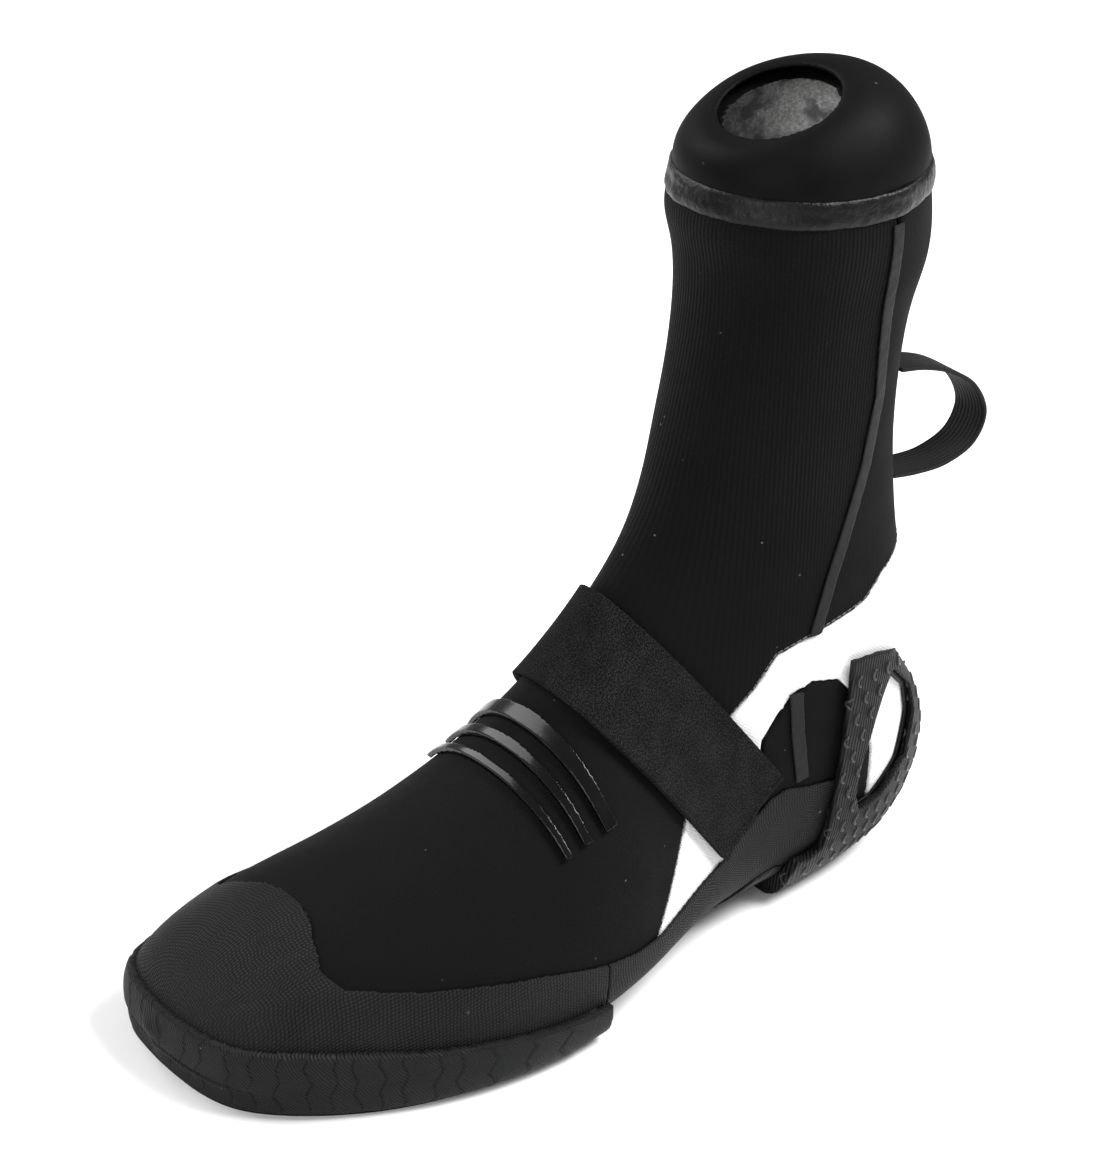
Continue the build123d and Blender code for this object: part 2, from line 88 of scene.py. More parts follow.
# Distance from the middle of the leg or heel to its skin, on which cloth is measured
GIRTH_RADIUS = 36 * MM

# The instep strap seen from the side: from the top of the instep to its outer end
STRAP_TOP = Vector((0, -8.5, 113.5)) * MM
STRAP_END = Vector((0, 43.5, 45.0)) * MM
STRAP_LENGTH = (STRAP_END - STRAP_TOP).length
STRAP_DOWN = (STRAP_END - STRAP_TOP).normalized()
STRAP_ACROSS = Vector((0, -STRAP_DOWN.z, STRAP_DOWN.y))
STRAP_FOLD = 24 * MM
STRAP_TAIL = 46 * MM
STRAP_HALF_WIDTH = 16.9 * MM
STRAP_THICKNESS = 1.8 * MM
# Where rays that feel for the strap start from, along its own length
STRAP_CENTRE = 45 * MM

# The pull loop's middle line seen from the side, millimetres
LOOP_PATH = [
    (120, 179), (131, 177), (143, 172.5), (154.5, 164.5), (160.5, 153), (156, 143),
    (144, 138.5), (131, 138.5), (120, 140),
]
LOOP_HALF_WIDTH = 7.4 * MM
LOOP_THICKNESS = 1.5 * MM

# The plane of the cuff's slanted mouth: its normal, and its distance from the origin
MOUTH_NORMAL = (0, -0.336, 0.942)
MOUTH_DISTANCE = 238.7 * MM

# Heights where the shaft's tapes begin and the heel patch's tapes end
SHAFT_TAPE_FOOT = 108.6 * MM
HEEL_TAPE_TOP = 87.5 * MM

# Share of the even faces that is kept on large or hidden pieces
FACES_KEPT = {
    "fleece": 0.28, "midsole_toe": 0.35, "midsole_back": 0.35, "arch": 0.35, "underfoot": 0.5,
    "outsole": 0.7, "vamp": 0.8, "heel_cage_rubber": 0.7, "toe_cap": 0.8,
}


# ---------------------------------------------------------------- helpers: meshes


def deselect():
    """Nothing is selected afterwards."""
    for thing in bpy.context.view_layer.objects:
        thing.select_set(False)


def make_active(piece):
    """Only this piece is selected, and it is the active one."""
    deselect()
    piece.select_set(True)
    bpy.context.view_layer.objects.active = piece


def apply_modifier(piece, kind, **settings):
    """Adds a modifier with these settings and applies it."""
    make_active(piece)
    bpy.ops.object.modifier_add(type=kind)
    modifier = piece.modifiers[-1]
    for key, value in settings.items():
        setattr(modifier, key, value)
    bpy.ops.object.modifier_apply(modifier=modifier.name)


def copy_of(nodes, name):
    """A new piece with the shape of one or more CAD nodes, its loose triangles joined up."""
    deselect()
    for node in nodes:
        source = frame["nodes"][node]
        source.hide_viewport = False
        source.select_set(True)
        bpy.context.view_layer.objects.active = source
    bpy.ops.object.duplicate()
    if len(nodes) > 1:
        bpy.ops.object.join()
    piece = bpy.context.view_layer.objects.active
    piece.name = piece.data.name = name
    for key in [key for key in piece.keys() if key.startswith("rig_")]:
        del piece[key]
    piece.parent = None
    piece.data.materials.clear()
    bpy.ops.object.mode_set(mode="EDIT")
    bpy.ops.mesh.select_all(action="SELECT")
    bpy.ops.mesh.remove_doubles(threshold=2e-6)
    bpy.ops.mesh.normals_make_consistent(inside=False)
    bpy.ops.object.mode_set(mode="OBJECT")
    return piece


def piece_from(name, points, faces):
    """A new smooth piece with these points and faces, its faces turned outwards."""
    mesh = bpy.data.meshes.new(name)
    mesh.from_pydata(points, [], faces)
    piece = bpy.data.objects.new(name, mesh)
    bpy.context.scene.collection.objects.link(piece)
    make_active(piece)
    bpy.ops.object.mode_set(mode="EDIT")
    bpy.ops.mesh.select_all(action="SELECT")
    bpy.ops.mesh.normals_make_consistent(inside=False)
    bpy.ops.object.mode_set(mode="OBJECT")
    bpy.ops.object.shade_smooth()
    return piece


def even_out(piece, voxel, passes):
    """Remeshes a piece in even faces, rounds its cut edges and thins out what hardly shows."""
    apply_modifier(piece, "REMESH", mode="VOXEL", voxel_size=voxel, use_smooth_shade=True)
    if passes:
        apply_modifier(piece, "SMOOTH", factor=0.5, iterations=passes)
    if piece.name in FACES_KEPT:
        apply_modifier(piece, "DECIMATE", ratio=FACES_KEPT[piece.name])
    return piece


def points_of(piece):
    """The piece's vertices as an array."""
    co = np.empty(len(piece.data.vertices) * 3)
    piece.data.vertices.foreach_get("co", co)
    return co.reshape(-1, 3)


def normals_of(piece):
    """The piece's vertex normals as an array."""
    normals = np.empty(len(piece.data.vertices) * 3)
    piece.data.vertices.foreach_get("normal", normals)
    return normals.reshape(-1, 3)


def move_points(piece, points):
    """Puts the piece's vertices at these places."""
    piece.data.vertices.foreach_set("co", np.asarray(points, float).ravel())
    piece.data.update()


def push_out(piece, amounts):
    """Moves every vertex along its normal."""
    move_points(piece, points_of(piece) + normals_of(piece) * amounts[:, None])


def lumps(points, size, seed=0.0):
    """Smooth noise from -1 to 1 at each point, with lumps of about this size."""
    return np.array([noise.noise(Vector(p) / size + Vector((seed, 0, 0))) for p in points])


def soft_step(values, low, high):
    """0 below low, 1 above high and smooth between."""
    t = np.clip((values - low) / (high - low), 0, 1)
    return t * t * (3 - 2 * t)


def keep_map(piece, cloth):
    """Stores where each vertex lies on the flat cloth, in metres."""
    attribute = piece.data.attributes.new("cloth", "FLOAT_VECTOR", "POINT")
    attribute.data.foreach_set("vector", np.asarray(cloth, np.float32).ravel())


def round_map(piece, middle, from_back=False):
    """Cloth coordinates round an upright post: along its girth, and up."""
    co = points_of(piece)
    across, along = co[:, 0] - middle[0], co[:, 1] - middle[1]
    turn = np.arctan2(across, along if from_back else -along)
    keep_map(piece, np.column_stack([turn * GIRTH_RADIUS, co[:, 2], np.zeros(len(co))]))


# Middles of the foot's sections, metres: place along the foot with sideways place, or height
SPINE_ACROSS = ([-0.155, -0.136, -0.094, -0.05, 0.0], [-0.018, -0.012, -0.002, 0.002, 0.0])
SPINE_HEIGHT = ([-0.155, -0.11, -0.05, 0.0, 0.06], [0.016, 0.024, 0.030, 0.040, 0.05])
TABLE_STEP = 4 * MM


def foot_spine(y):
    """Middle of the foot's section at y: sideways place and height."""
    return np.interp(y, *SPINE_ACROSS), np.interp(y, *SPINE_HEIGHT)


def foot_table():
    """Lengths along the foot's skin and round it, by place along the foot and turn."""
    names = ["vamp_panel", "toe_cap_rand", "midfoot_rand_lateral", "midfoot_rand_medial"]
    names += ["quarter_panel_lateral", "quarter_panel_medial", "bottom_panel"]
    co = np.concatenate([points_of(frame["nodes"][name]) for name in names])
    along = np.arange(-0.156, 0.09, TABLE_STEP)
    turns = np.radians(np.arange(-180, 181, 6))
    across, height = foot_spine(co[:, 1])
    turn = np.arctan2(co[:, 0] - across, co[:, 2] - height)
    reach = np.hypot(co[:, 0] - across, co[:, 2] - height)
    rows = np.full((len(along), len(turns)), np.nan)
    place = np.rint((co[:, 1] - along[0]) / TABLE_STEP).astype(int)
    sector = np.rint((turn - turns[0]) / (turns[1] - turns[0])).astype(int)
    for row, column, value in zip(place, sector, reach):
        if 0 <= row < len(along) and not value <= rows[row, column]:
            rows[row, column] = value
    for row in rows:
        known = ~np.isnan(row)
        row[:] = np.interp(turns, turns[known], row[known]) if known.any() else 0.04
    step_turn = turns[1] - turns[0]
    girth = np.hypot(rows, np.gradient(rows, step_turn, axis=1)) * step_turn
    girth = np.cumsum(girth, axis=1)
    girth -= girth[:, len(turns) // 2][:, None]
    length = np.hypot(1, np.gradient(rows, TABLE_STEP, axis=0)) * TABLE_STEP
    return along, turns, girth, np.cumsum(length, axis=0)


def foot_map(piece, table):
    """Cloth coordinates over the foot: round its girth, and along it."""
    along, turns, girth, length = table
    co = points_of(piece)
    across, height = foot_spine(co[:, 1])
    turn = np.arctan2(co[:, 0] - across, co[:, 2] - height)
    row = np.clip((co[:, 1] - along[0]) / TABLE_STEP, 0, len(along) - 1.001)
    column = np.clip((turn - turns[0]) / (turns[1] - turns[0]), 0, len(turns) - 1.001)
    r0, c0 = row.astype(int), column.astype(int)
    fr, fc = row - r0, column - c0

    def look_up(values):
        low = values[r0, c0] * (1 - fc) + values[r0, c0 + 1] * fc
        high = values[r0 + 1, c0] * (1 - fc) + values[r0 + 1, c0 + 1] * fc
        return low * (1 - fr) + high * fr

    keep_map(piece, np.column_stack([look_up(girth), look_up(length), np.zeros(len(co))]))


def edge_map(piece, middle):
    """Cloth coordinates round the edge of the forefoot's sole: along the edge, and up."""
    co = points_of(piece)
    across, along = co[:, 0] - middle[0], co[:, 1] - middle[1]
    turn = np.arctan2(across, -along)
    reach = np.hypot(across, along)
    turns = np.radians(np.arange(-180, 181, 5))
    widest = np.array([reach[np.abs(turn - t) < 0.08].max(initial=0.03) for t in turns])
    edge = np.hypot(widest, np.gradient(widest, turns[1] - turns[0])) * (turns[1] - turns[0])
    edge = np.cumsum(edge)
    cloth = np.column_stack([np.interp(turn, turns, edge), co[:, 2], np.zeros(len(co))])
    under = normals_of(piece)[:, 2] < -0.7
    cloth[under] = co[under]
    keep_map(piece, cloth)


def surface_of(*nodes):
    """A search tree over the faces of these CAD nodes or pieces."""
    points, faces = [], []
    for node in nodes:
        source = frame["nodes"].get(node) or bpy.data.objects[node]
        start = len(points)
        points += [vertex.co.copy() for vertex in source.data.vertices]
        faces += [[start + i for i in polygon.vertices] for polygon in source.data.polygons]
    return BVHTree.FromPolygons(points, faces)


def from_side(surface, y, z, side):
    """Where a line from the side meets a surface, and its normal there."""
    hit, normal, _, _ = surface.ray_cast(Vector((0.3 * side, y, z)), Vector((-side, 0, 0)))
    if hit is not None and normal.x * side < 0:
        normal = -normal
    return hit, normal


def from_round(surface, middle, turn, z):
    """Where a line towards an upright post meets a surface.  Turn 0 is at the back."""
    away = Vector((math.sin(turn), math.cos(turn), 0))
    start = Vector((middle[0], middle[1], z)) + away * 0.3
    hit, normal, _, _ = surface.ray_cast(start, -away)
    if hit is not None and normal.dot(away) < 0:
        normal = -normal
    return hit, normal


def relief(name, strokes, radius, flat=1.0):
    """One piece made of thin raised strokes, each a list of (place, normal) pairs."""
    sides = 6
    points, faces = [], []
    for stroke in strokes:
        places = [place for place, _ in stroke]
        first = len(points)
        count = len(stroke) + 2
        for index in range(count):
            here = min(max(index - 1, 0), len(stroke) - 1)
            ahead, behind = min(here + 1, len(stroke) - 1), max(here - 1, 0)
            along = (places[ahead] - places[behind]).normalized()
            normal = stroke[here][1]
            across = along.cross(normal).normalized()
            normal = across.cross(along)
            end = index in (0, count - 1)
            size = radius * (0.45 if end else 1)
            outwards = (index > 0) - (index < count - 1)
            shift = along * radius * 0.8 * outwards if end else Vector()
            for side in range(sides):
                turn = 2 * math.pi * side / sides
                points.append(
                    places[here]
                    + shift
                    + across * (math.cos(turn) * size)
                    + normal * (math.sin(turn) * size * flat)
                )
        for index in range(count - 1):
            low = first + index * sides
            for side in range(sides):
                nxt = (side + 1) % sides
                faces.append((low + side, low + nxt, low + sides + nxt, low + sides + side))
        faces.append(tuple(first + side for side in reversed(range(sides))))
        last = first + (count - 1) * sides
        faces.append(tuple(last + side for side in range(sides)))
    return piece_from(name, points, faces)


def dashes(surface, line, side, length, gap, lift=0.0):
    """Stitches along a line seen from the side, each a short stroke on the surface."""
    strokes, carry = [], 0.0
    for start, end in zip(line, line[1:]):
        run = Vector(end) - Vector(start)
        reach = run.length
        place = carry
        while place + length <= reach:
            stroke = []
            for share in (0.0, 0.5, 1.0):
                y, z = Vector(start) + run * ((place + length * share) / reach)
                hit, normal = from_side(surface, y, z, side)
                if hit is not None:
                    stroke.append((hit + normal * lift, normal))
            if len(stroke) == 3:
                strokes.append(stroke)
            place += length + gap
        carry = max(place - reach, 0.0)
    return strokes


def run_lengths(line):
    """The length of a line of places up to each of them."""
    return np.cumsum([0] + [(b - a).length for a, b in zip(line, line[1:])])


def sheet_grid(name, rows, thickness, edge=0.4 * MM):
    """A strap-like band: rows of places across it, given a thickness and round edges."""
    down, wide = len(rows), len(rows[0])
    bpy.ops.object.select_all(action="DESELECT")
    bpy.ops.mesh.primitive_grid_add(x_subdivisions=wide - 1, y_subdivisions=down - 1, size=1)
    piece = bpy.context.active_object
    piece.name = piece.data.name = name
    move_points(piece, [place for row in rows for place in row])
    lengths = run_lengths([row[wide // 2] for row in rows])
    widths = run_lengths(rows[0])
    keep_map(piece, [(w, l, 0) for l in lengths for w in widths])
    bpy.ops.object.shade_smooth()
    apply_modifier(piece, "SOLIDIFY", thickness=thickness, offset=-1)
    apply_modifier(piece, "BEVEL", width=edge, segments=2, limit_method="ANGLE")
    return piece


# ---------------------------------------------------------------- helpers: materials


def put(tree, kind, inputs=None, **settings):
    """A new node with these settings, its inputs set or linked."""
    node = tree.nodes.new(kind)
    for key, value in settings.items():
        setattr(node, key, value)
    for key, value in (inputs or {}).items():
        if isinstance(value, bpy.types.NodeSocket):
            tree.links.new(value, node.inputs[key])
        else:
            node.inputs[key].default_value = value
    return node


def calc(tree, operation, first, second=0.0, third=0.0):
    """The result of one sum."""
    used = {"MULTIPLY_ADD": 3, "SINE": 1, "ABSOLUTE": 1}.get(operation, 2)
    inputs = dict(enumerate((first, second, third)[:used]))
    return put(tree, "ShaderNodeMath", inputs, operation=operation).outputs[0]


def blend_colours(tree, share, first, second):
    """A colour between two, by share."""
    node = put(tree, "ShaderNodeMix", {0: share, 6: first, 7: second}, data_type="RGBA")
    return node.outputs[2]


def ramp(tree, value, low, high, to_low=0.0, to_high=1.0):
    """The value taken from one range to another, held at both ends."""
    ends = {"From Min": low, "From Max": high, "To Min": to_low, "To Max": to_high}
    return put(tree, "ShaderNodeMapRange", {"Value": value, **ends}).outputs[0]


def speckle(tree, vector, size, detail=2.0, rough=0.5):
    """Noise with lumps of about this size, 0 to 1."""
    inputs = {"Vector": vector, "Scale": 1 / size, "Detail": detail, "Roughness": rough}
    return put(tree, "ShaderNodeTexNoise", inputs).outputs["Fac"]


def effect(name, inputs, outputs):
    """An empty node group with these sockets, and its two ends."""
    tree = bpy.data.node_groups.new(name, "ShaderNodeTree")
    for socket, kind, value in inputs:
        made = tree.interface.new_socket(socket, in_out="INPUT", socket_type=kind)
        if value is not None:
            made.default_value = value
    for socket, kind in outputs:
        tree.interface.new_socket(socket, in_out="OUTPUT", socket_type=kind)
    return tree, tree.nodes.new("NodeGroupInput"), tree.nodes.new("NodeGroupOutput")


def finish_effect(tree, end, results):
    """Links the results to the group's end."""
    for key, socket in results.items():
        tree.links.new(socket, end.inputs[key])


def effect_rib_knit():
    """Jersey knit in upright ribs, each a column of small loops."""
    tree, start, end = effect(
        "Rib Knit",
        [("Cloth", "NodeSocketVector", None), ("Pitch", "NodeSocketFloat", 0.0014)],
        [("Height", "NodeSocketFloat"), ("Painted Shading", "NodeSocketFloat")],
    )
    parts = put(tree, "ShaderNodeSeparateXYZ", {0: start.outputs["Cloth"]})
    u, v = parts.outputs[0], parts.outputs[1]
    turns = calc(tree, "DIVIDE", u, start.outputs["Pitch"])
    rib = calc(tree, "SINE", calc(tree, "MULTIPLY", turns, 2 * math.pi))
    rows = calc(tree, "DIVIDE", v, calc(tree, "MULTIPLY", start.outputs["Pitch"], 0.8))
    slant = calc(tree, "MULTIPLY_ADD", rows, 2 * math.pi, calc(tree, "MULTIPLY", rib, 1.4))
    loop = calc(tree, "SINE", slant)
    height = calc(tree, "MULTIPLY_ADD", rib, 0.36, calc(tree, "MULTIPLY", loop, 0.14))
    uneven = speckle(tree, start.outputs["Cloth"], 0.0016)
    height = calc(tree, "MULTIPLY_ADD", uneven, 0.25, height)
    # Painted shade: the colour output follows the height, lighter on the raised ribs and loops and
    # darker in the grooves between them.
    finish_effect(tree, end, {"Height": height, "Painted Shading": ramp(tree, height, -0.4, 0.7)})


def effect_grid():
    """A fine square net pressed into rubberised cloth."""
    tree, start, end = effect(
        "Grid Net",
        [("Cloth", "NodeSocketVector", None), ("Pitch", "NodeSocketFloat", 0.0012)],
        [("Height", "NodeSocketFloat"), ("Painted Shading", "NodeSocketFloat")],
    )
    whole = start.outputs["Cloth"]
    wobble = put(tree, "ShaderNodeTexNoise", {"Vector": whole, "Scale": 90.0, "Detail": 1.0})
    shift = put(
        tree,
        "ShaderNodeVectorMath",
        {0: wobble.outputs["Color"], 1: (1.6 * MM, 1.6 * MM, 0.0)},
        operation="MULTIPLY",
    )
    ends = {0: whole, 1: shift.outputs[0]}
    moved = put(tree, "ShaderNodeVectorMath", ends, operation="ADD")
    parts = put(tree, "ShaderNodeSeparateXYZ", {0: moved.outputs[0]})
    waves = []
    for axis in (0, 1):
        turns = calc(tree, "DIVIDE", parts.outputs[axis], start.outputs["Pitch"])
        wave = calc(tree, "SINE", calc(tree, "MULTIPLY", turns, math.pi))
        waves.append(calc(tree, "ABSOLUTE", wave))
    cell = calc(tree, "MULTIPLY", waves[0], waves[1])
    uneven = speckle(tree, start.outputs["Cloth"], 0.0009)
    height = calc(tree, "MULTIPLY_ADD", uneven, 0.35, cell)
    # Painted shade: the colour output follows the height, lighter on the raised cells and darker in
    # the pressed net lines.
    finish_effect(tree, end, {"Height": height, "Painted Shading": ramp(tree, height, 0.3, 1.1)})


def effect_velour():
    """Short looped pile, lighter where the loops catch the light."""
    tree, start, end = effect(
        "Velour Pile",
        [("Cloth", "NodeSocketVector", None), ("Size", "NodeSocketFloat", 0.0007)],
        [("Height", "NodeSocketFloat"), ("Painted Shading", "NodeSocketFloat")],
    )
    scale = calc(tree, "DIVIDE", 1.0, start.outputs["Size"])
    fine = put(
        tree,
        "ShaderNodeTexNoise",
        {"Vector": start.outputs["Cloth"], "Scale": scale, "Detail": 3.0, "Roughness": 0.65},
    ).outputs["Fac"]
    tufts = speckle(tree, start.outputs["Cloth"], 0.009)
    tone = calc(tree, "MULTIPLY_ADD", tufts, 0.16, calc(tree, "MULTIPLY", fine, 1.1))
    finish_effect(tree, end, {"Height": fine, "Painted Shading": ramp(tree, tone, 0.56, 0.88)})


def effect_rubber_waves():
    """Fine moulded lines that wander, like a fingerprint."""
    tree, start, end = effect(
        "Rubber Waves",
        [
            ("Cloth", "NodeSocketVector", None),
            ("Pitch", "NodeSocketFloat", 0.0013),
            ("Slant", "NodeSocketFloat", 0.6),
            ("Wander", "NodeSocketFloat", 2.5),
        ],
        [("Height", "NodeSocketFloat"), ("Painted Shading", "NodeSocketFloat")],
    )
    parts = put(tree, "ShaderNodeSeparateXYZ", {0: start.outputs["Cloth"]})
    slanted = calc(tree, "MULTIPLY_ADD", parts.outputs[1], start.outputs["Slant"], parts.outputs[0])
    turns = calc(tree, "DIVIDE", slanted, start.outputs["Pitch"])
    drift = speckle(tree, start.outputs["Cloth"], 0.011, 1.0)
    wander = calc(tree, "MULTIPLY", drift, start.outputs["Wander"])
    phase = calc(tree, "MULTIPLY", calc(tree, "ADD", turns, wander), 2 * math.pi)
    line = calc(tree, "MULTIPLY_ADD", calc(tree, "SINE", phase), 0.5, 0.5)
    # Painted shade: the colour output follows the lines, lighter on their raised crests and darker
    # between them.
    finish_effect(tree, end, {"Height": line, "Painted Shading": ramp(tree, line, 0.2, 0.9)})


def effect_lint():
    """A few specks of lint, and worn, dusty patches."""
    tree, start, end = effect(
        "Lint and Wear",
        [("Place", "NodeSocketVector", None), ("Spacing", "NodeSocketFloat", 0.009)],
        [("Lint", "NodeSocketFloat"), ("Wear", "NodeSocketFloat")],
    )
    scale = calc(tree, "DIVIDE", 1.0, start.outputs["Spacing"])
    dots = put(tree, "ShaderNodeTexVoronoi", {"Vector": start.outputs["Place"], "Scale": scale})
    patches = speckle(tree, start.outputs["Place"], 0.03, 3.0, 0.6)
    lint = calc(
        tree,
        "MULTIPLY",
        ramp(tree, dots.outputs["Distance"], 0.03, 0.05, 1.0, 0.0),
        ramp(tree, speckle(tree, start.outputs["Place"], 0.015), 0.5, 0.65),
    )
    finish_effect(tree, end, {"Lint": lint, "Wear": ramp(tree, patches, 0.35, 0.7)})


def use_effect(tree, name, inputs):
    """A placed node group."""
    return put(tree, "ShaderNodeGroup", inputs, node_tree=bpy.data.node_groups[name])


def new_material(name, **constants):
    """A material with its Principled shader, and the sockets that patterns read."""
    material = bpy.data.materials.new(name)
    material.use_nodes = True
    tree = material.node_tree
    shader = tree.nodes["Principled BSDF"]
    for key, value in constants.items():
        shader.inputs[key.replace("_", " ")].default_value = value
    cloth = put(tree, "ShaderNodeAttribute", attribute_name="cloth").outputs["Vector"]
    place = put(tree, "ShaderNodeTexCoord").outputs["Object"]
    return tree, shader, cloth, place


def set_bump(tree, shader, height, distance):
    """Feeds a height to the shader's normal; the distance is in metres."""
    inputs = {"Height": height, "Distance": distance, "Strength": 1.0}
    bump = put(tree, "ShaderNodeBump", inputs).outputs[0]
    tree.links.new(bump, shader.inputs["Normal"])


def shade(colour, factor):
    """A colour made lighter or darker."""
    return tuple(channel * factor for channel in colour[:3]) + (1.0,)


def make_knit(name, colour, pitch, depth, plain_below=None):
    """Black jersey over neoprene, ribbed or plain."""
    tree, shader, cloth, place = new_material(name, Roughness=0.78, Specular_IOR_Level=0.08)
    knit = use_effect(tree, "Rib Knit", {"Cloth": cloth, "Pitch": pitch})
    dust = use_effect(tree, "Lint and Wear", {"Place": place})
    height = knit.outputs["Height"]
    tone = calc(tree, "MULTIPLY", knit.outputs["Painted Shading"], 0.55)
    if plain_below:
        up = put(tree, "ShaderNodeSeparateXYZ", {0: place}).outputs[2]
        ribbed = ramp(tree, up, plain_below[0], plain_below[1], 0.25, 1.0)
        height = calc(tree, "MULTIPLY", height, ribbed)
        tone = calc(tree, "MULTIPLY", tone, ribbed)
    tone = calc(tree, "MULTIPLY_ADD", dust.outputs["Wear"], 0.3, tone)
    # The colour mixes painted shade from the ribs' relief with real worn patches; lint specks go on
    # top.
    base = blend_colours(tree, tone, shade(colour, 0.7), shade(colour, 1.6))
    base = blend_colours(tree, dust.outputs["Lint"], base, (0.1, 0.1, 0.105, 1))
    tree.links.new(base, shader.inputs["Base Color"])
    tree.links.new(ramp(tree, dust.outputs["Wear"], 0, 1, 0.72, 0.86), shader.inputs["Roughness"])
    set_bump(tree, shader, height, depth)


def make_grid_rand(name, colour, pitch, depth, roughness):
    """Rubberised cloth with a pressed net."""
    tree, shader, cloth, place = new_material(name, Specular_IOR_Level=0.14)
    net = use_effect(tree, "Grid Net", {"Cloth": cloth, "Pitch": pitch})
    dust = use_effect(tree, "Lint and Wear", {"Place": place, "Spacing": 0.014})
    tone = calc(tree, "MULTIPLY_ADD", dust.outputs["Wear"], 0.35, net.outputs["Painted Shading"])
    # The colour mixes painted shade from the net's relief, from a third to twice the colour, with
    # real worn patches; lint specks go on top.
    base = blend_colours(tree, tone, shade(colour, 0.3), shade(colour, 2.1))
    base = blend_colours(tree, dust.outputs["Lint"], base, (0.14, 0.14, 0.145, 1))
    tree.links.new(base, shader.inputs["Base Color"])
    tree.links.new(
        ramp(tree, net.outputs["Painted Shading"], 0, 1, roughness + 0.12, roughness - 0.08),
        shader.inputs["Roughness"],
    )
    set_bump(tree, shader, net.outputs["Height"], depth)


def make_rubber(name, colour, pitch, slant, wander, depth, roughness):
    """Moulded rubber with fine wandering lines."""
    tree, shader, cloth, place = new_material(name, Specular_IOR_Level=0.13)
    course = {"Cloth": cloth, "Pitch": pitch, "Slant": slant, "Wander": wander}
    lines = use_effect(tree, "Rubber Waves", course)
    dust = use_effect(tree, "Lint and Wear", {"Place": place, "Spacing": 0.008})
    tone = calc(tree, "MULTIPLY", lines.outputs["Painted Shading"], 0.4)
    tone = calc(tree, "MULTIPLY_ADD", dust.outputs["Wear"], 0.6, tone)
    # The colour mixes painted shade from the fine lines' relief with real worn patches; lint specks
    # go on top.
    base = blend_colours(tree, tone, shade(colour, 0.7), shade(colour, 1.35))
    base = blend_colours(tree, dust.outputs["Lint"], base, (0.2, 0.2, 0.21, 1))
    tree.links.new(base, shader.inputs["Base Color"])
    tree.links.new(
        ramp(tree, dust.outputs["Wear"], 0, 1, roughness - 0.07, roughness + 0.1),
        shader.inputs["Roughness"],
    )
    grain = speckle(tree, place, 0.0006)
    height = calc(tree, "MULTIPLY_ADD", grain, 0.15, lines.outputs["Height"])
    set_bump(tree, shader, height, depth)


def make_plain_rubber(name, colour, roughness, grain_size, depth, coat=0.0, gloss=0.14):
    """Smooth rubber or coated neoprene with a faint grain."""
    tree, shader, _, place = new_material(
        name, Coat_Weight=coat, Coat_Roughness=0.12, Specular_IOR_Level=gloss
    )
    dust = use_effect(tree, "Lint and Wear", {"Place": place, "Spacing": 0.012})
    base = blend_colours(tree, dust.outputs["Wear"], shade(colour, 0.8), shade(colour, 1.3))
    base = blend_colours(tree, dust.outputs["Lint"], base, (0.06, 0.06, 0.063, 1))
    tree.links.new(base, shader.inputs["Base Color"])
    tree.links.new(
        ramp(tree, dust.outputs["Wear"], 0, 1, roughness - 0.05, roughness + 0.08),
        shader.inputs["Roughness"],
    )
    set_bump(tree, shader, speckle(tree, place, grain_size, 4.0, 0.6), depth)


def make_white_weave(name, colour, pitch):
    """Tight white woven face of the quarter panels."""
    tree, shader, _, place = new_material(name, Roughness=0.85)
    side = put(tree, "ShaderNodeMapping", {"Vector": place, "Rotation": (math.radians(38), 0, 0)})
    parts = put(tree, "ShaderNodeSeparateXYZ", {0: side.outputs[0]})
    turned = {0: parts.outputs[1], 1: parts.outputs[2], 2: parts.outputs[0]}
    swapped = put(tree, "ShaderNodeCombineXYZ", turned)
    net = use_effect(tree, "Grid Net", {"Cloth": swapped.outputs[0], "Pitch": pitch})
    dust = use_effect(tree, "Lint and Wear", {"Place": place})
    tone = calc(tree, "MULTIPLY", net.outputs["Painted Shading"], 0.75)
    tone = calc(tree, "MULTIPLY_ADD", dust.outputs["Wear"], 0.25, tone)
    # The colour mixes painted shade from the weave's relief with real worn patches.
    base = blend_colours(tree, tone, shade(colour, 0.78), shade(colour, 1.0))
    tree.links.new(base, shader.inputs["Base Color"])
    set_bump(tree, shader, net.outputs["Height"], 0.12 * MM)


def make_fleece(name, colour, blotch):
    """Thick pile lining, pale grey with dark blotches."""
    tree, shader, _, place = new_material(name, Roughness=0.95, Sheen_Weight=0.25)
    pile = use_effect(tree, "Velour Pile", {"Cloth": place, "Size": 0.0011})
    patches = speckle(tree, place, 0.011, 3.0, 0.6)
    mix = ramp(tree, patches, 0.47, 0.6)
    base = blend_colours(tree, mix, colour, blotch)
    # Painted shade between the pile's tufts darkens the lining towards the blotch colour; the
    # blotches themselves are real.
    tone = ramp(tree, pile.outputs["Painted Shading"], 0, 1, 0.35, 1.0)
    base = blend_colours(tree, tone, shade(blotch, 1.2), base)
    tree.links.new(base, shader.inputs["Base Color"])
    set_bump(tree, shader, pile.outputs["Height"], 0.9 * MM)


def make_velour(name, colour, size):
    """The strap's looped face."""
    tree, shader, cloth, _ = new_material(name, Roughness=0.9, Specular_IOR_Level=0.06)
    pile = use_effect(tree, "Velour Pile", {"Cloth": cloth, "Size": size})
    # Painted highlights: the pile lifts the colour up to five times where the loops would catch the
    # light, with painted shade between them.
    base = blend_colours(tree, pile.outputs["Painted Shading"], shade(colour, 0.4), shade(colour, 5.0))
    tree.links.new(base, shader.inputs["Base Color"])
    set_bump(tree, shader, pile.outputs["Height"], 0.45 * MM)


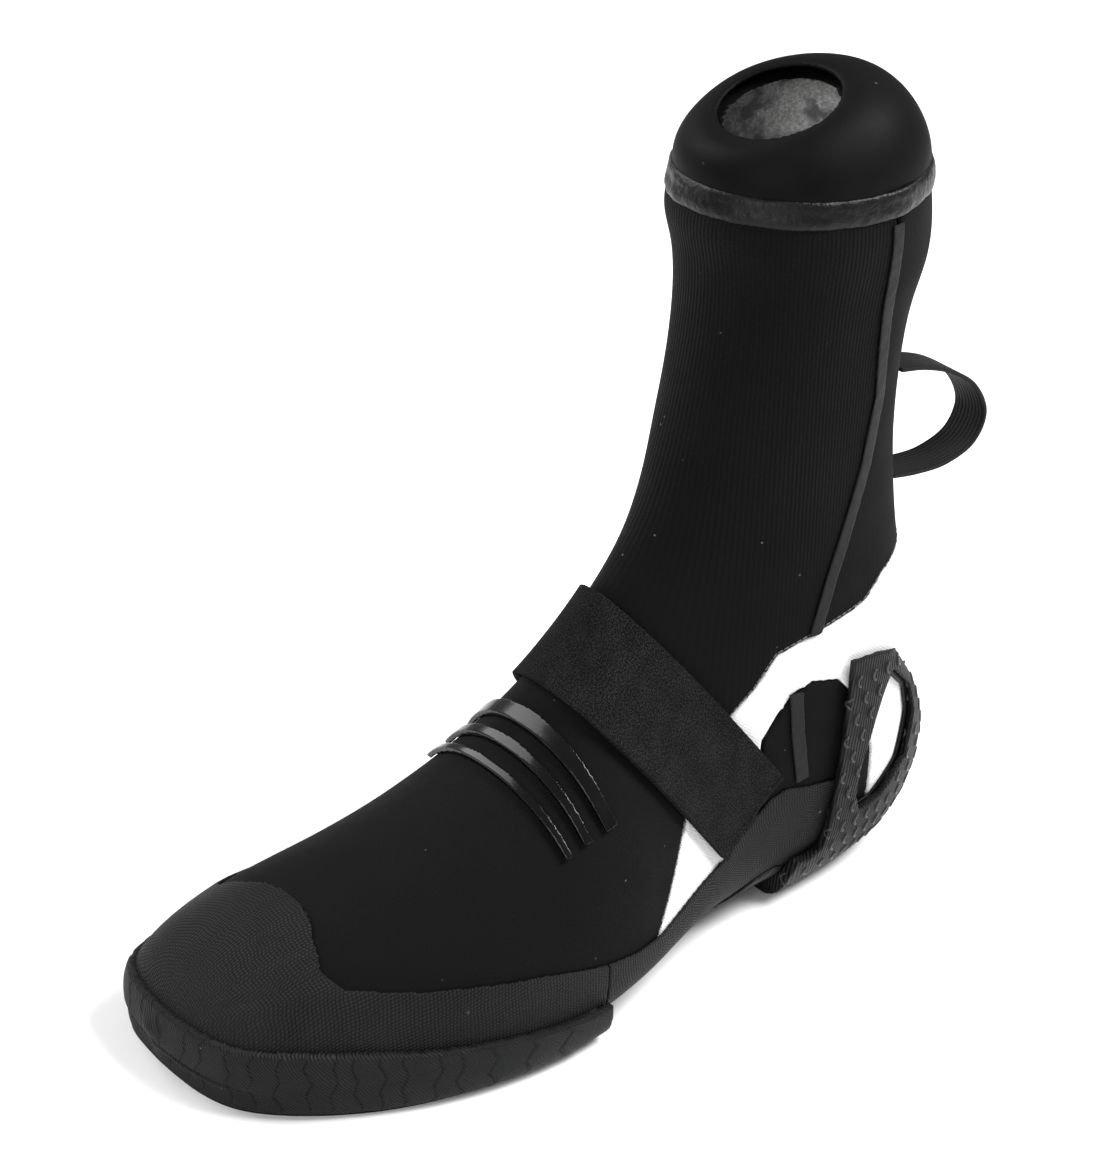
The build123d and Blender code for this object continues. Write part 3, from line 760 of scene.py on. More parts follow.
def make_webbing(name, colour, pitch):
    """Narrow woven tape with cross ribs."""
    tree, shader, cloth, _ = new_material(name, Roughness=0.62, Specular_IOR_Level=0.12)
    net = use_effect(tree, "Rib Knit", {"Cloth": cloth, "Pitch": pitch})
    # Painted shade: the colour follows the ribs' relief, darker in the grooves between them.
    base = blend_colours(tree, net.outputs["Painted Shading"], shade(colour, 0.5), shade(colour, 2.2))
    tree.links.new(base, shader.inputs["Base Color"])
    set_bump(tree, shader, net.outputs["Height"], 0.3 * MM)


def make_thread(name, colour):
    """Twisted sewing thread."""
    tree, shader, _, place = new_material(name, Roughness=0.6)
    twist = speckle(tree, place, 0.0004)
    # The twist's noise also sets the colour, darker where the bump is low: painted shade in the
    # twist's hollows.
    base = blend_colours(tree, twist, shade(colour, 0.6), shade(colour, 1.2))
    tree.links.new(base, shader.inputs["Base Color"])
    set_bump(tree, shader, twist, 0.1 * MM)


def dress(piece, material, body=None, nodes=()):
    """Gives a piece its material and body, and hides the CAD nodes that it stands for."""
    piece.data.materials.clear()
    piece.data.materials.append(bpy.data.materials[material])
    if body:
        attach(piece, body)
    if nodes:
        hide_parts(*nodes)
    return piece


# ---------------------------------------------------------------- sizes and colours


class BootLooks(PropertyGroup):
    """Sizes and colours of the boot's finishes."""

    panel_face: FloatProperty(
        name="Panel Faces", description="Edge of one face on the neoprene panels",
        default=1.0 * MM, min=0.6 * MM, unit="LENGTH",
    )
    trim_face: FloatProperty(
        name="Trim Faces", description="Edge of one face on the rands and the heel cage",
        default=0.6 * MM, min=0.35 * MM, unit="LENGTH",
    )
    rib_pitch: FloatProperty(
        name="Rib Pitch", description="Width of one knitted rib on the shaft", default=1.35 * MM,
        unit="LENGTH",
    )
    net_pitch: FloatProperty(
        name="Net Pitch", description="Width of one cell of the rands' net", default=1.15 * MM,
        unit="LENGTH",
    )
    wave_pitch: FloatProperty(
        name="Wave Pitch", description="Distance between the sole's fine lines", default=1.3 * MM,
        unit="LENGTH",
    )
    stitch: FloatProperty(
        name="Stitch", description="Length of one stitch", default=1.5 * MM, unit="LENGTH"
    )
    neoprene: FloatVectorProperty(
        name="Neoprene", description="Colour of the black jersey",
        default=(0.0028, 0.0028, 0.003), subtype="COLOR",
    )
    skin: FloatVectorProperty(
        name="Smooth Skin", description="Colour of the smooth neoprene",
        default=(0.0025, 0.0025, 0.0027), subtype="COLOR",
    )
    rand: FloatVectorProperty(
        name="Rands", description="Colour of the rubberised net cloth",
        default=(0.0055, 0.0055, 0.0057), subtype="COLOR",
    )
    rubber: FloatVectorProperty(
        name="Sole Rubber", description="Colour of the sole and heel cage",
        default=(0.0078, 0.0078, 0.0082), subtype="COLOR",
    )
    tape: FloatVectorProperty(
        name="Seam Tape", description="Colour of the bonded tapes",
        default=(0.0055, 0.0055, 0.0057), subtype="COLOR",
    )
    strap: FloatVectorProperty(
        name="Strap", description="Colour of the strap's pile", default=(0.0062, 0.0062, 0.0065),
        subtype="COLOR",
    )
    quarter: FloatVectorProperty(
        name="Quarters", description="Colour of the white woven panels", default=(0.87, 0.87, 0.87),
        subtype="COLOR",
    )
    fleece: FloatVectorProperty(
        name="Fleece", description="Colour of the lining", default=(0.9, 0.9, 0.88), subtype="COLOR"
    )
    blotch: FloatVectorProperty(
        name="Fleece Blotches", description="Colour of the lining's dark patches",
        default=(0.16, 0.16, 0.165), subtype="COLOR",
    )
    thread: FloatVectorProperty(
        name="Thread", description="Colour of the sewing thread", default=(0.10, 0.10, 0.105),
        subtype="COLOR",
    )


class BOOT_OT_finishes(Operator):
    """Makes the materials of every finish"""

    bl_idname = "boot.finishes"
    bl_label = "Finishes"

    def execute(self, context):
        looks = context.scene.boot_looks
        effect_rib_knit()
        effect_grid()
        effect_velour()
        effect_rubber_waves()
        effect_lint()
        make_knit("Ribbed jersey", looks.neoprene, looks.rib_pitch, 0.35 * MM, (0.125, 0.175))
        make_knit("Plain jersey", looks.neoprene, 0.8 * MM, 0.08 * MM)
        make_knit("Smooth neoprene", looks.skin, 0.7 * MM, 0.05 * MM)
        make_plain_rubber("Cuff skin", looks.skin, 0.55, 0.9 * MM, 0.05 * MM, gloss=0.06)
        liquid, ridge = shade(looks.tape, 0.5), shade(looks.skin, 0.9)
        # The scales' colour is the cage rubber made 1.6 times lighter: a painted highlight on the
        # raised crescents.
        scales, board = shade(looks.rubber, 1.6), shade(looks.tape, 1.4)
        make_plain_rubber("Liquid tape", liquid, 0.36, 1.8 * MM, 0.4 * MM, gloss=0.2)
        make_plain_rubber("Bonded tape", looks.tape, 0.5, 0.5 * MM, 0.12 * MM)
        make_plain_rubber("Ridge rubber", ridge, 0.24, 3 * MM, 0.03 * MM, coat=0.25)
        make_plain_rubber("Scale rubber, painted highlight", scales, 0.35, 0.8 * MM, 0.05 * MM, gloss=0.35)
        make_plain_rubber("Frame rubber", shade(looks.rubber, 0.7), 0.5, 0.8 * MM, 0.08 * MM)
        make_plain_rubber("Textile board", board, 0.8, 0.5 * MM, 0.2 * MM)
        make_grid_rand("Net rand", looks.rand, looks.net_pitch, 0.28 * MM, 0.55)
        make_rubber("Sole rubber", looks.rubber, looks.wave_pitch, 0.9, 3.2, 0.3 * MM, 0.52)
        make_rubber("Cage rubber", looks.rubber, looks.wave_pitch, 0.12, 1.6, 0.35 * MM, 0.5)
        make_white_weave("White weave", shade(looks.quarter, 1.0), 0.8 * MM)
        make_fleece("Fleece", shade(looks.fleece, 1.0), shade(looks.blotch, 1.0))
        make_velour("Strap pile", looks.strap, 0.55 * MM)
        make_velour("Hook tape", shade(looks.skin, 1.2), 0.9 * MM)
        make_velour("Insole cloth", shade(looks.tape, 2.0), 0.8 * MM)
        make_webbing("Webbing", shade(looks.tape, 0.9), 1.6 * MM)
        make_thread("Thread", looks.thread)
        return {"FINISHED"}


# Neoprene panels: piece, CAD node, cloth map, material, slot
PANELS = [
    ("shaft_front", "shaft_front_panel", "front", "Ribbed jersey", "rib_knit"),
    ("shaft_back", "shaft_back_panel", "back", "Plain jersey", "plain_knit"),
    ("vamp", "vamp_panel", "foot", "Plain jersey", "smooth_neoprene"),
    ("underfoot", "bottom_panel", "foot", "Smooth neoprene", "smooth_neoprene"),
    ("quarter_outer", "quarter_panel_lateral", "foot", "White weave", "white_weave"),
    ("quarter_inner", "quarter_panel_medial", "foot", "White weave", "white_weave"),
    ("heel_patch_outer", "heel_patch_lateral", "foot", "Smooth neoprene", "smooth_neoprene"),
    ("heel_patch_inner", "heel_patch_medial", "foot", "Smooth neoprene", "smooth_neoprene"),
]


def lay_cloth(piece, kind, table=None):
    """Stores a piece's cloth coordinates in the way that suits its place."""
    if kind == "front":
        round_map(piece, LEG_MIDDLE)
    elif kind == "back":
        round_map(piece, LEG_MIDDLE, from_back=True)
    elif kind == "heel":
        round_map(piece, HEEL_MIDDLE, from_back=True)
    elif kind == "edge":
        edge_map(piece, TOE_MIDDLE)
    else:
        foot_map(piece, table)


class BOOT_OT_panels(Operator):
    """Makes the neoprene panels of the upper"""

    bl_idname = "boot.panels"
    bl_label = "Neoprene Panels"

    def execute(self, context):
        looks = context.scene.boot_looks
        table = foot_table()
        for name, node, kind, material, slot in PANELS:
            piece = even_out(copy_of([node], name), looks.panel_face, 4)
            push_out(piece, lumps(points_of(piece), 28 * MM, 3.0) * 0.25 * MM)
            lay_cloth(piece, kind, table)
            dress(piece, material, "boot", [node])
        return {"FINISHED"}


# Rands and boards: piece, CAD node, cloth map, material, slot
RANDS = [
    ("toe_cap", "toe_cap_rand", "foot", "Net rand", "grid_rand"),
    ("rand_outer", "midfoot_rand_lateral", "foot", "Net rand", "grid_rand"),
    ("rand_inner", "midfoot_rand_medial", "foot", "Net rand", "grid_rand"),
    ("arch", "arch_plate", "foot", "Frame rubber", "frame_rubber"),
    ("midsole_toe", "midsole_front", "foot", "Textile board", "board"),
    ("midsole_back", "midsole_heel", "foot", "Textile board", "board"),
]


class BOOT_OT_rands(Operator):
    """Makes the rubberised toe cap and rands, the arch plate and the boards"""

    bl_idname = "boot.rands"
    bl_label = "Toe Cap and Rands"

    def execute(self, context):
        looks = context.scene.boot_looks
        table = foot_table()
        for name, node, kind, material, slot in RANDS:
            piece = copy_of([node], name)
            if name == "toe_cap":
                # stands a little thicker at the tip, where it would fray when remeshed
                tip = 1 - soft_step(points_of(piece)[:, 1], -140 * MM, -120 * MM)
                push_out(piece, 0.4 * MM * tip)
            even_out(piece, looks.trim_face, 3)
            lay_cloth(piece, kind, table)
            dress(piece, material, "boot", [node])
        return {"FINISHED"}


# The taped ring's section, bottom to top: height and how far it stands off, millimetres
RING_SECTION = [
    (252.6, -0.4), (252.9, 0.4), (253.6, 0.9), (254.6, 1.2), (255.6, 1.4), (256.6, 1.5),
    (257.6, 1.5), (258.8, 1.4), (259.8, 1.1), (260.7, 0.7), (261.4, 0.3), (261.8, -0.4),
]
# Turn from the back at which the shaft's tape makes a knot in the ring
TAPE_TURN = 1.36


def taped_ring(name, surface):
    """A lumpy bead of tape laid round the seam between the shaft and the cuff."""
    turns = np.linspace(0, 2 * math.pi, 400, endpoint=False)
    reaches = np.full((len(RING_SECTION), len(turns)), np.nan)
    for row, (height, _) in enumerate(RING_SECTION):
        for column, turn in enumerate(turns):
            hit, _ = from_round(surface, LEG_MIDDLE, turn, height * MM)
            if hit is not None:
                reaches[row, column] = math.hypot(hit.x - LEG_MIDDLE[0], hit.y - LEG_MIDDLE[1])
    around = np.stack([np.roll(reaches, shift, axis=1) for shift in range(-4, 5)])
    reaches = np.nanmedian(around, axis=0)
    points = []
    for row, (height, lift) in enumerate(RING_SECTION):
        for reach, turn in zip(reaches[row], turns):
            knot = math.exp(-(((turn - TAPE_TURN) * 6) ** 2))
            away = Vector((math.sin(turn), math.cos(turn), 0))
            place = away * reach
            place += Vector((*LEG_MIDDLE, (height + 0.5 * math.sin(turn * 3)) * MM))
            rough = noise.noise(place / (5 * MM)) * 0.35 + noise.noise(place / (2 * MM)) * 0.2
            out = lift + (rough + knot * 0.7 if lift > 0 else 0)
            points.append(place + away * out * MM)
    faces, count, wide = [], len(RING_SECTION), len(turns)
    for row in range(count):
        low, high = row * wide, (row + 1) % count * wide
        for column in range(wide):
            ahead = (column + 1) % wide
            faces.append((low + column, low + ahead, high + ahead, high + column))
    return piece_from(name, points, faces)


class BOOT_OT_cuff(Operator):
    """Makes the domed cuff, its taped ring and the fleece inside"""

    bl_idname = "boot.cuff"
    bl_label = "Cuff and Lining"

    def execute(self, context):
        collar = even_out(copy_of(["cuff_collar"], "cuff"), 0.8 * MM, 5)
        lay_cloth(collar, "front")
        dress(collar, "Cuff skin", "boot", ["cuff_collar"])

        surface = surface_of("shaft_front_panel", "shaft_back_panel", "cuff_collar")
        ring = taped_ring("cuff_ring", surface)
        lay_cloth(ring, "front")
        dress(ring, "Liquid tape", "boot", ["cuff_seam_ring"])

        for name, node, face in (
            ("fleece", "fleece_lining", 1.1 * MM),
            ("cuff_fleece", "collar_lining", 0.8 * MM),
        ):
            fleece = even_out(copy_of([node], name), face, 3)
            co = points_of(fleece)
            pile = lumps(co, 2.6 * MM) * 0.35 + lumps(co, 6 * MM, 5.0) * 0.3
            inwards = normals_of(fleece)[:, :2] * (co[:, :2] - np.array(LEG_MIDDLE))
            push_out(fleece, np.where(inwards.sum(axis=1) < 0, pile * MM, 0))
            co = points_of(fleece)
            if name == "cuff_fleece":
                # reaches down to the leg's lining, and is pressed in below the mouth
                co[:, 2] -= 1.6 * MM * (1 - soft_step(co[:, 2], 258.2 * MM, 262 * MM))
                over = co[:, 1] * MOUTH_NORMAL[1] + co[:, 2] * MOUTH_NORMAL[2] - MOUTH_DISTANCE
                co -= np.outer(np.maximum(over, 0) * 0.95, MOUTH_NORMAL)
            else:
                co[:, 2] += 1.0 * MM * soft_step(co[:, 2], 254 * MM, 258 * MM)
            move_points(fleece, co)
            lay_cloth(fleece, "front")
            dress(fleece, "Fleece", "boot", [node])
            # The rim's faces, pressed flat below the mouth, take the dark cuff skin: painted shade
            # over a ledge that the lights from above would show bright.
            if name == "cuff_fleece":
                fleece.data.materials.append(bpy.data.materials["Cuff skin"])
                for polygon in fleece.data.polygons:
                    rim = over[list(polygon.vertices)].min() > -0.9 * MM
                    polygon.material_index = int(rim)
        return {"FINISHED"}


class BOOT_OT_insole(Operator):
    """Makes the foam insole, faintly lumpy on top and cloth covered"""

    bl_idname = "boot.insole"
    bl_label = "Insole"

    def execute(self, context):
        insole = even_out(copy_of(["insole"], "footbed"), 1.2 * MM, 5)
        on_top = normals_of(insole)[:, 2] > 0.5
        push_out(insole, lumps(points_of(insole), 20 * MM) * 0.3 * MM * on_top)
        keep_map(insole, points_of(insole))
        dress(insole, "Insole cloth", "boot", ["insole"])
        return {"FINISHED"}


def crescent(surface, middle, turn, z, size, tilt):
    """One raised fish-scale arc on a round surface, or None where it would miss."""
    stroke = []
    for share in np.linspace(-1, 1, 6):
        angle = share * 1.25 + tilt
        aside = math.sin(angle) * size / GIRTH_RADIUS
        hit, normal = from_round(surface, middle, turn + aside, z - (1 - math.cos(angle)) * size)
        if hit is None or abs(normal.z) > 0.75:
            return None
        if stroke and (hit - stroke[-1][0]).length > size * 1.3:
            return None
        stroke.append((hit, normal))
    return stroke


# Top edge of the forefoot's sole seen from the side, millimetres
SOLE_EDGE = [
    (-170, 21.5), (-151, 22.5), (-137, 24.4), (-119, 23.6), (-100, 21.8), (-77, 20),
    (-56, 17.7), (-33, 15.8),
]
WALL_STAND_OFF = 2.3 * MM
WALL_THICKNESS = 4.5 * MM
WALL_FOOT = 0.1 * MM
CUT_SPACING = 17 * MM


def sole_wall(name):
    """The sole's wall: a band round the toe that stands off the cap, with zigzag cuts."""
    rubber = surface_of("outsole_front")
    inside = surface_of("toe_cap_rand", "midsole_front")
    turns = np.radians(np.linspace(-140, 140.5, 760))
    shares = np.linspace(0, 1, 44)
    edge_y, edge_z = np.array(SOLE_EDGE).T * MM
    heights = np.linspace(0.6, 25, 30) * MM
    far = 0.2
    reach = np.zeros((len(heights), len(turns)))
    for row, height in enumerate(heights):
        for column, turn in enumerate(turns):
            away = Vector((math.sin(turn), -math.cos(turn), 0))
            start = Vector((*TOE_MIDDLE, height)) + away * far
            outer, inner = rubber.ray_cast(start, -away)[3], inside.ray_cast(start, -away)[3]
            found = [far - outer] if outer else []
            found += [far - inner + WALL_STAND_OFF] if inner else []
            reach[row, column] = max(found, default=math.nan)
    for row in range(len(heights)):
        known = np.isfinite(reach[row])
        reach[row] = np.interp(turns, turns[known], reach[row][known])
    for average, span in ((np.median, 5), (np.mean, 6)):
        around = [np.roll(reach, shift, axis=1) for shift in range(-span, span + 1)]
        reach = average(np.stack(around), axis=0)
    reach[:, :12], reach[:, -12:] = reach[:, 12:13], reach[:, -13:-12]
    rows = []
    for column, turn in enumerate(turns):
        away = Vector((math.sin(turn), -math.cos(turn), 0))
        along = TOE_MIDDLE[1] - math.cos(turn) * np.interp(18 * MM, heights, reach[:, column])
        crumb = noise.noise(Vector((turn * 20, 0, 0))) * 0.5
        crumb += noise.noise(Vector((turn * 60, 9, 0))) * 0.3
        top = np.interp(along, edge_y, edge_z) + crumb * MM
        line = []
        for share in shares:
            height = WALL_FOOT + share * (top - WALL_FOOT)
            out = np.interp(height, heights, reach[:, column]) + 0.5 * MM
            zig = abs((height / (5 * MM)) % 2 - 1) * 4 * MM
            wander = noise.noise(Vector((turn * 4, height / (20 * MM), 3))) * 7 * MM
            cut = abs((turn * 0.1 + zig + wander) % CUT_SPACING - CUT_SPACING / 2)
            depth = (1 - soft_step(cut, 0.4 * MM, 1.0 * MM)) * soft_step(height, 2 * MM, 4 * MM)
            out -= 0.35 * MM * depth
            out -= 0.6 * MM * soft_step(share, 0.95, 1.0)
            line.append(Vector((*TOE_MIDDLE, height)) + away * out)
        inner = [end - away * WALL_THICKNESS for end in (line[-1], line[0])]
        rows.append(line + inner)
    wide = len(rows[0])
    faces = []
    for row in range(len(rows) - 1):
        low, high = row * wide, (row + 1) * wide
        for column in range(wide):
            ahead = (column + 1) % wide
            faces.append((low + column, high + column, high + ahead, low + ahead))
    last = (len(rows) - 1) * wide
    faces += [tuple(range(wide)), tuple(last + column for column in reversed(range(wide)))]
    return piece_from(name, [place for row in rows for place in row], faces)


class BOOT_OT_sole(Operator):
    """Makes the front outsole, with its zigzag cuts and tread"""

    bl_idname = "boot.sole"
    bl_label = "Front Outsole"

    def execute(self, context):
        sole = even_out(copy_of(["outsole_front"], "outsole"), 0.75 * MM, 3)
        x, y, z = points_of(sole).T
        # wavy tread grooves, cut upwards into the flat underside
        wave = np.sin((y + 3 * MM * np.sin(x / (7 * MM))) / (6.5 * MM) * 2 * math.pi)
        groove = soft_step(wave, 0.35, 0.85) * (normals_of(sole)[:, 2] < -0.8) * (z < 2 * MM)
        push_out(sole, -groove * 1.1 * MM)
        lay_cloth(sole, "edge")
        dress(sole, "Sole rubber", "boot", ["outsole_front"])
        wall = sole_wall("sole_wall")
        lay_cloth(wall, "edge")
        dress(wall, "Sole rubber", "boot")
        return {"FINISHED"}


class BOOT_OT_cage(Operator):
    """Makes the heel cage with its raised scales, and the frames in its windows"""

    bl_idname = "boot.cage"
    bl_label = "Heel Cage"

    def execute(self, context):
        looks = context.scene.boot_looks
        cage = even_out(copy_of(["heel_cage"], "heel_cage_rubber"), looks.trim_face, 3)
        lay_cloth(cage, "heel")
        dress(cage, "Cage rubber", "boot", ["heel_cage"])
        surface = surface_of("heel_cage")
        strokes = []
        for row, z in enumerate(np.arange(6 * MM, 92 * MM, 7.4 * MM)):
            for column in range(-15, 16):
                turn = (column + 0.5 * (row % 2)) * 0.205
                stroke = crescent(surface, HEEL_MIDDLE, turn, z, 2.1 * MM, math.pi / 2)
                if stroke:
                    strokes.append(stroke)
        scales = relief("heel_scales", strokes, 0.55 * MM, flat=0.9)
        # The scales take the lighter rubber: painted highlight.
        dress(scales, "Scale rubber, painted highlight", "boot")
        for side, node in (("outer", "heel_frame_lateral"), ("inner", "heel_frame_medial")):
            rim = even_out(copy_of([node], f"window_frame_{side}"), 0.5 * MM, 3)
            lay_cloth(rim, "heel")
            dress(rim, "Frame rubber", "boot", [node])
        return {"FINISHED"}


# Bonded tapes and moulded ridges: piece, CAD node, material, slot
TRIMS = [
    ("shaft_tape_outer", "seam_tape_lateral", "Bonded tape", "seam_tape"),
    ("shaft_tape_inner", "seam_tape_medial", "Bonded tape", "seam_tape"),
    ("heel_tape_outer", "heel_tape_lateral", "Bonded tape", "seam_tape"),
    ("heel_tape_inner", "heel_tape_medial", "Bonded tape", "seam_tape"),
    ("back_tape", "back_seam_tape", "Bonded tape", "seam_tape"),
    ("ridges", "instep_ridges", "Ridge rubber", "gloss_rubber"),
]


class BOOT_OT_trims(Operator):
    """Makes the bonded seam tapes and the glossy ridges over the instep"""

    bl_idname = "boot.trims"
    bl_label = "Tapes and Ridges"

    def execute(self, context):
        for name, node, material, slot in TRIMS:
            piece = even_out(copy_of([node], name), 0.35 * MM, 5)
            if name != "ridges":
                push_out(piece, lumps(points_of(piece), 3.5 * MM) * 0.12 * MM)
            co = points_of(piece)
            if name.startswith("shaft_tape"):
                pressed = SHAFT_TAPE_FOOT + (co[:, 2] - SHAFT_TAPE_FOOT) * 0.1
                co[:, 2] = np.where(co[:, 2] < SHAFT_TAPE_FOOT, pressed, co[:, 2])
            elif name.startswith("heel_tape"):
                pressed = HEEL_TAPE_TOP + (co[:, 2] - HEEL_TAPE_TOP) * 0.1
                co[:, 2] = np.minimum(co[:, 2], pressed)
            move_points(piece, co)
            dress(piece, material, "boot", [node])
        return {"FINISHED"}


def strap_rows(surface, across, end_outer, end_inner, step=1.2 * MM):
    """Rows of places along a band over the instep, from its outer end to its inner end."""
    runs = []
    for offset in across:
        heart = STRAP_TOP + STRAP_DOWN * STRAP_CENTRE + STRAP_ACROSS * offset
        heart += Vector((-2 * MM, 0, 0))
        reaches, turns = [], np.radians(np.arange(-150, 151, 1.0))
        for turn in turns:
            away = STRAP_DOWN * -math.cos(turn) + Vector((math.sin(turn), 0, 0))
            hit = surface.ray_cast(heart + away * 0.15, -away)[0]
            reaches.append((hit - heart).dot(away) if hit is not None else math.nan)
        reaches, typical = np.array(reaches), []
        for index in range(len(reaches)):
            near = reaches[max(index - 4, 0):index + 5]
            typical.append(np.nanmedian(near) if np.isfinite(near).any() else math.nan)
        good = np.isfinite(reaches) & (np.abs(reaches - typical) < 1.2 * MM)
        reaches = np.interp(turns, turns[good], reaches[good])
        padded = np.concatenate([[reaches[0]] * 5, reaches, [reaches[-1]] * 5])
        smooth = np.convolve(padded, np.ones(11) / 11, mode="valid")
        downs = STRAP_CENTRE - reaches * np.cos(turns)
        share = np.exp(-(((downs - STRAP_FOLD) / (6 * MM)) ** 2))
        reaches = smooth * share + reaches * (1 - share)
        line = []
        for turn, reach in zip(turns, reaches):
            away = STRAP_DOWN * -math.cos(turn) + Vector((math.sin(turn), 0, 0))
            place = heart + away * reach
            down = (place - STRAP_TOP).dot(STRAP_DOWN)
            if (turn > 0 and down <= end_outer) or (turn <= 0 and down <= end_inner):
                line.append(place)
        runs.append(line[::-1])
    count = int(max(run_lengths(line)[-1] for line in runs) / step)
    columns = []
    for line in runs:
        length = run_lengths(line)
        marks = np.linspace(0, length[-1], count)
        axes = np.array([place[:] for place in line]).T
        columns.append(np.column_stack([np.interp(marks, length, axis) for axis in axes]))
    return [[Vector(column[row]) for column in columns] for row in range(count)]


class BOOT_OT_strap(Operator):
    """Makes the instep strap, its hook patch and landing"""

    bl_idname = "boot.strap"
    bl_label = "Instep Strap"

    def execute(self, context):
        surface = surface_of("strap_base", "instep_strap", "strap_tail")
        across = np.linspace(-STRAP_HALF_WIDTH, STRAP_HALF_WIDTH, 30)
        rows = strap_rows(surface, across, STRAP_LENGTH - 0.1 * MM, STRAP_FOLD + STRAP_TAIL)
        top = min(range(len(rows)), key=lambda i: (rows[i][15] - STRAP_TOP).dot(STRAP_DOWN))
        outer = sheet_grid("strap_outer", rows[:top + 1], STRAP_THICKNESS)
        dress(outer, "Strap pile", None, ["strap_base", "instep_strap"])
        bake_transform(outer)
        inner = sheet_grid("strap_inner", rows[top:], STRAP_THICKNESS)
        dress(inner, "Strap pile", None, ["strap_tail"])
        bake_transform(inner)
        hook = even_out(copy_of(["strap_hook_patch"], "hook_patch"), 0.35 * MM, 1)
        keep_map(hook, points_of(hook))
        dress(hook, "Hook tape", None, ["strap_hook_patch"])
        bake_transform(hook)
        landing = even_out(copy_of(["strap_landing_patch"], "strap_landing"), 0.4 * MM, 2)
        keep_map(landing, points_of(landing))
        dress(landing, "Strap pile", "boot", ["strap_landing_patch"])
        return {"FINISHED"}


class BOOT_OT_loop(Operator):
    """Makes the webbing pull loop and the tabs it is sewn to"""

    bl_idname = "boot.loop"
    bl_label = "Pull Loop"

    def execute(self, context):
        points = [Vector((-2, y, z)) * MM for y, z in LOOP_PATH]
        curve = []
        for index in range(len(points) - 1):
            a, b = points[max(index - 1, 0)], points[index]
            c, d = points[index + 1], points[min(index + 2, len(points) - 1)]
            for step in range(12):
                t = step / 12
                bend, twist = 2 * a - 5 * b + 4 * c - d, 3 * b - a - 3 * c + d
                curve.append(
                    0.5 * (2 * b + (c - a) * t + bend * t * t + twist * t * t * t)
                )
        curve.append(points[-1])
        rows = []
        for index, place in enumerate(curve):
            ahead = curve[min(index + 1, len(curve) - 1)] - curve[max(index - 1, 0)]
            out = Vector((0, -ahead.z, ahead.y)).normalized() * -0.8 * MM
            widths = np.linspace(-LOOP_HALF_WIDTH, LOOP_HALF_WIDTH, 13)
            rows.append([place - out + Vector((x, 0, 0)) for x in widths])
        webbing = sheet_grid("pull_loop_webbing", rows, LOOP_THICKNESS)
        dress(webbing, "Webbing", None, ["pull_loop"])
        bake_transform(webbing)
        tabs = even_out(copy_of(["loop_tabs"], "loop_tab_patches"), 0.4 * MM, 2)
        lay_cloth(tabs, "back")
        dress(tabs, "Webbing", "boot", ["loop_tabs"])
        return {"FINISHED"}


# Lines of stitches seen from the side, millimetres
VAMP_EDGE = [(22.9, 73.1), (11.9, 61.1), (2.4, 45.6), (-7.6, 31.1)]
QUARTER_EDGE = [
    (34, 86), (43, 94), (51, 105), (65.5, 109.4), (87, 114.4), (96, 121.4), (108.5, 125),
    (122, 128.2),
]


class BOOT_OT_stitching(Operator):
    """Makes the rows of stitches"""

    bl_idname = "boot.stitching"
    bl_label = "Stitching"

    def execute(self, context):
        looks = context.scene.boot_looks
        upper = surface_of("vamp_panel", "shaft_front_panel", "shaft_back_panel")
        for edge, points in (("vamp", VAMP_EDGE), ("quarter", QUARTER_EDGE)):
            line = [Vector(point) * MM for point in points]
            for name, side in (("outer", 1), ("inner", -1)):
                rows = dashes(upper, line, side, looks.stitch, 0.9 * MM, 0.05 * MM)
                piece = relief(f"{edge}_stitches_{name}", rows, 0.22 * MM)
                dress(piece, "Thread", "boot")
        return {"FINISHED"}


# The view: its turn from the front, height and tilt in degrees, what it looks at and how far off
VIEW_ANGLES = (52.5, 28.5, 1.3)
VIEW_TARGET = Vector((-4.16, -15.45, 135.27)) * MM
VIEW_DISTANCE = 1.06
SENSOR_WIDTH = 36
LENS = 3350 * SENSOR_WIDTH / 1176

# Lights: name, place, size and power
LIGHTS = [
    ("key", (0.7, 0.9, 1.5), 0.8, 52),
    ("fill", (-1.3, -0.5, 1.2), 1.2, 24),
    ("front", (0.8, -1.5, 1.0), 1.0, 18),
]


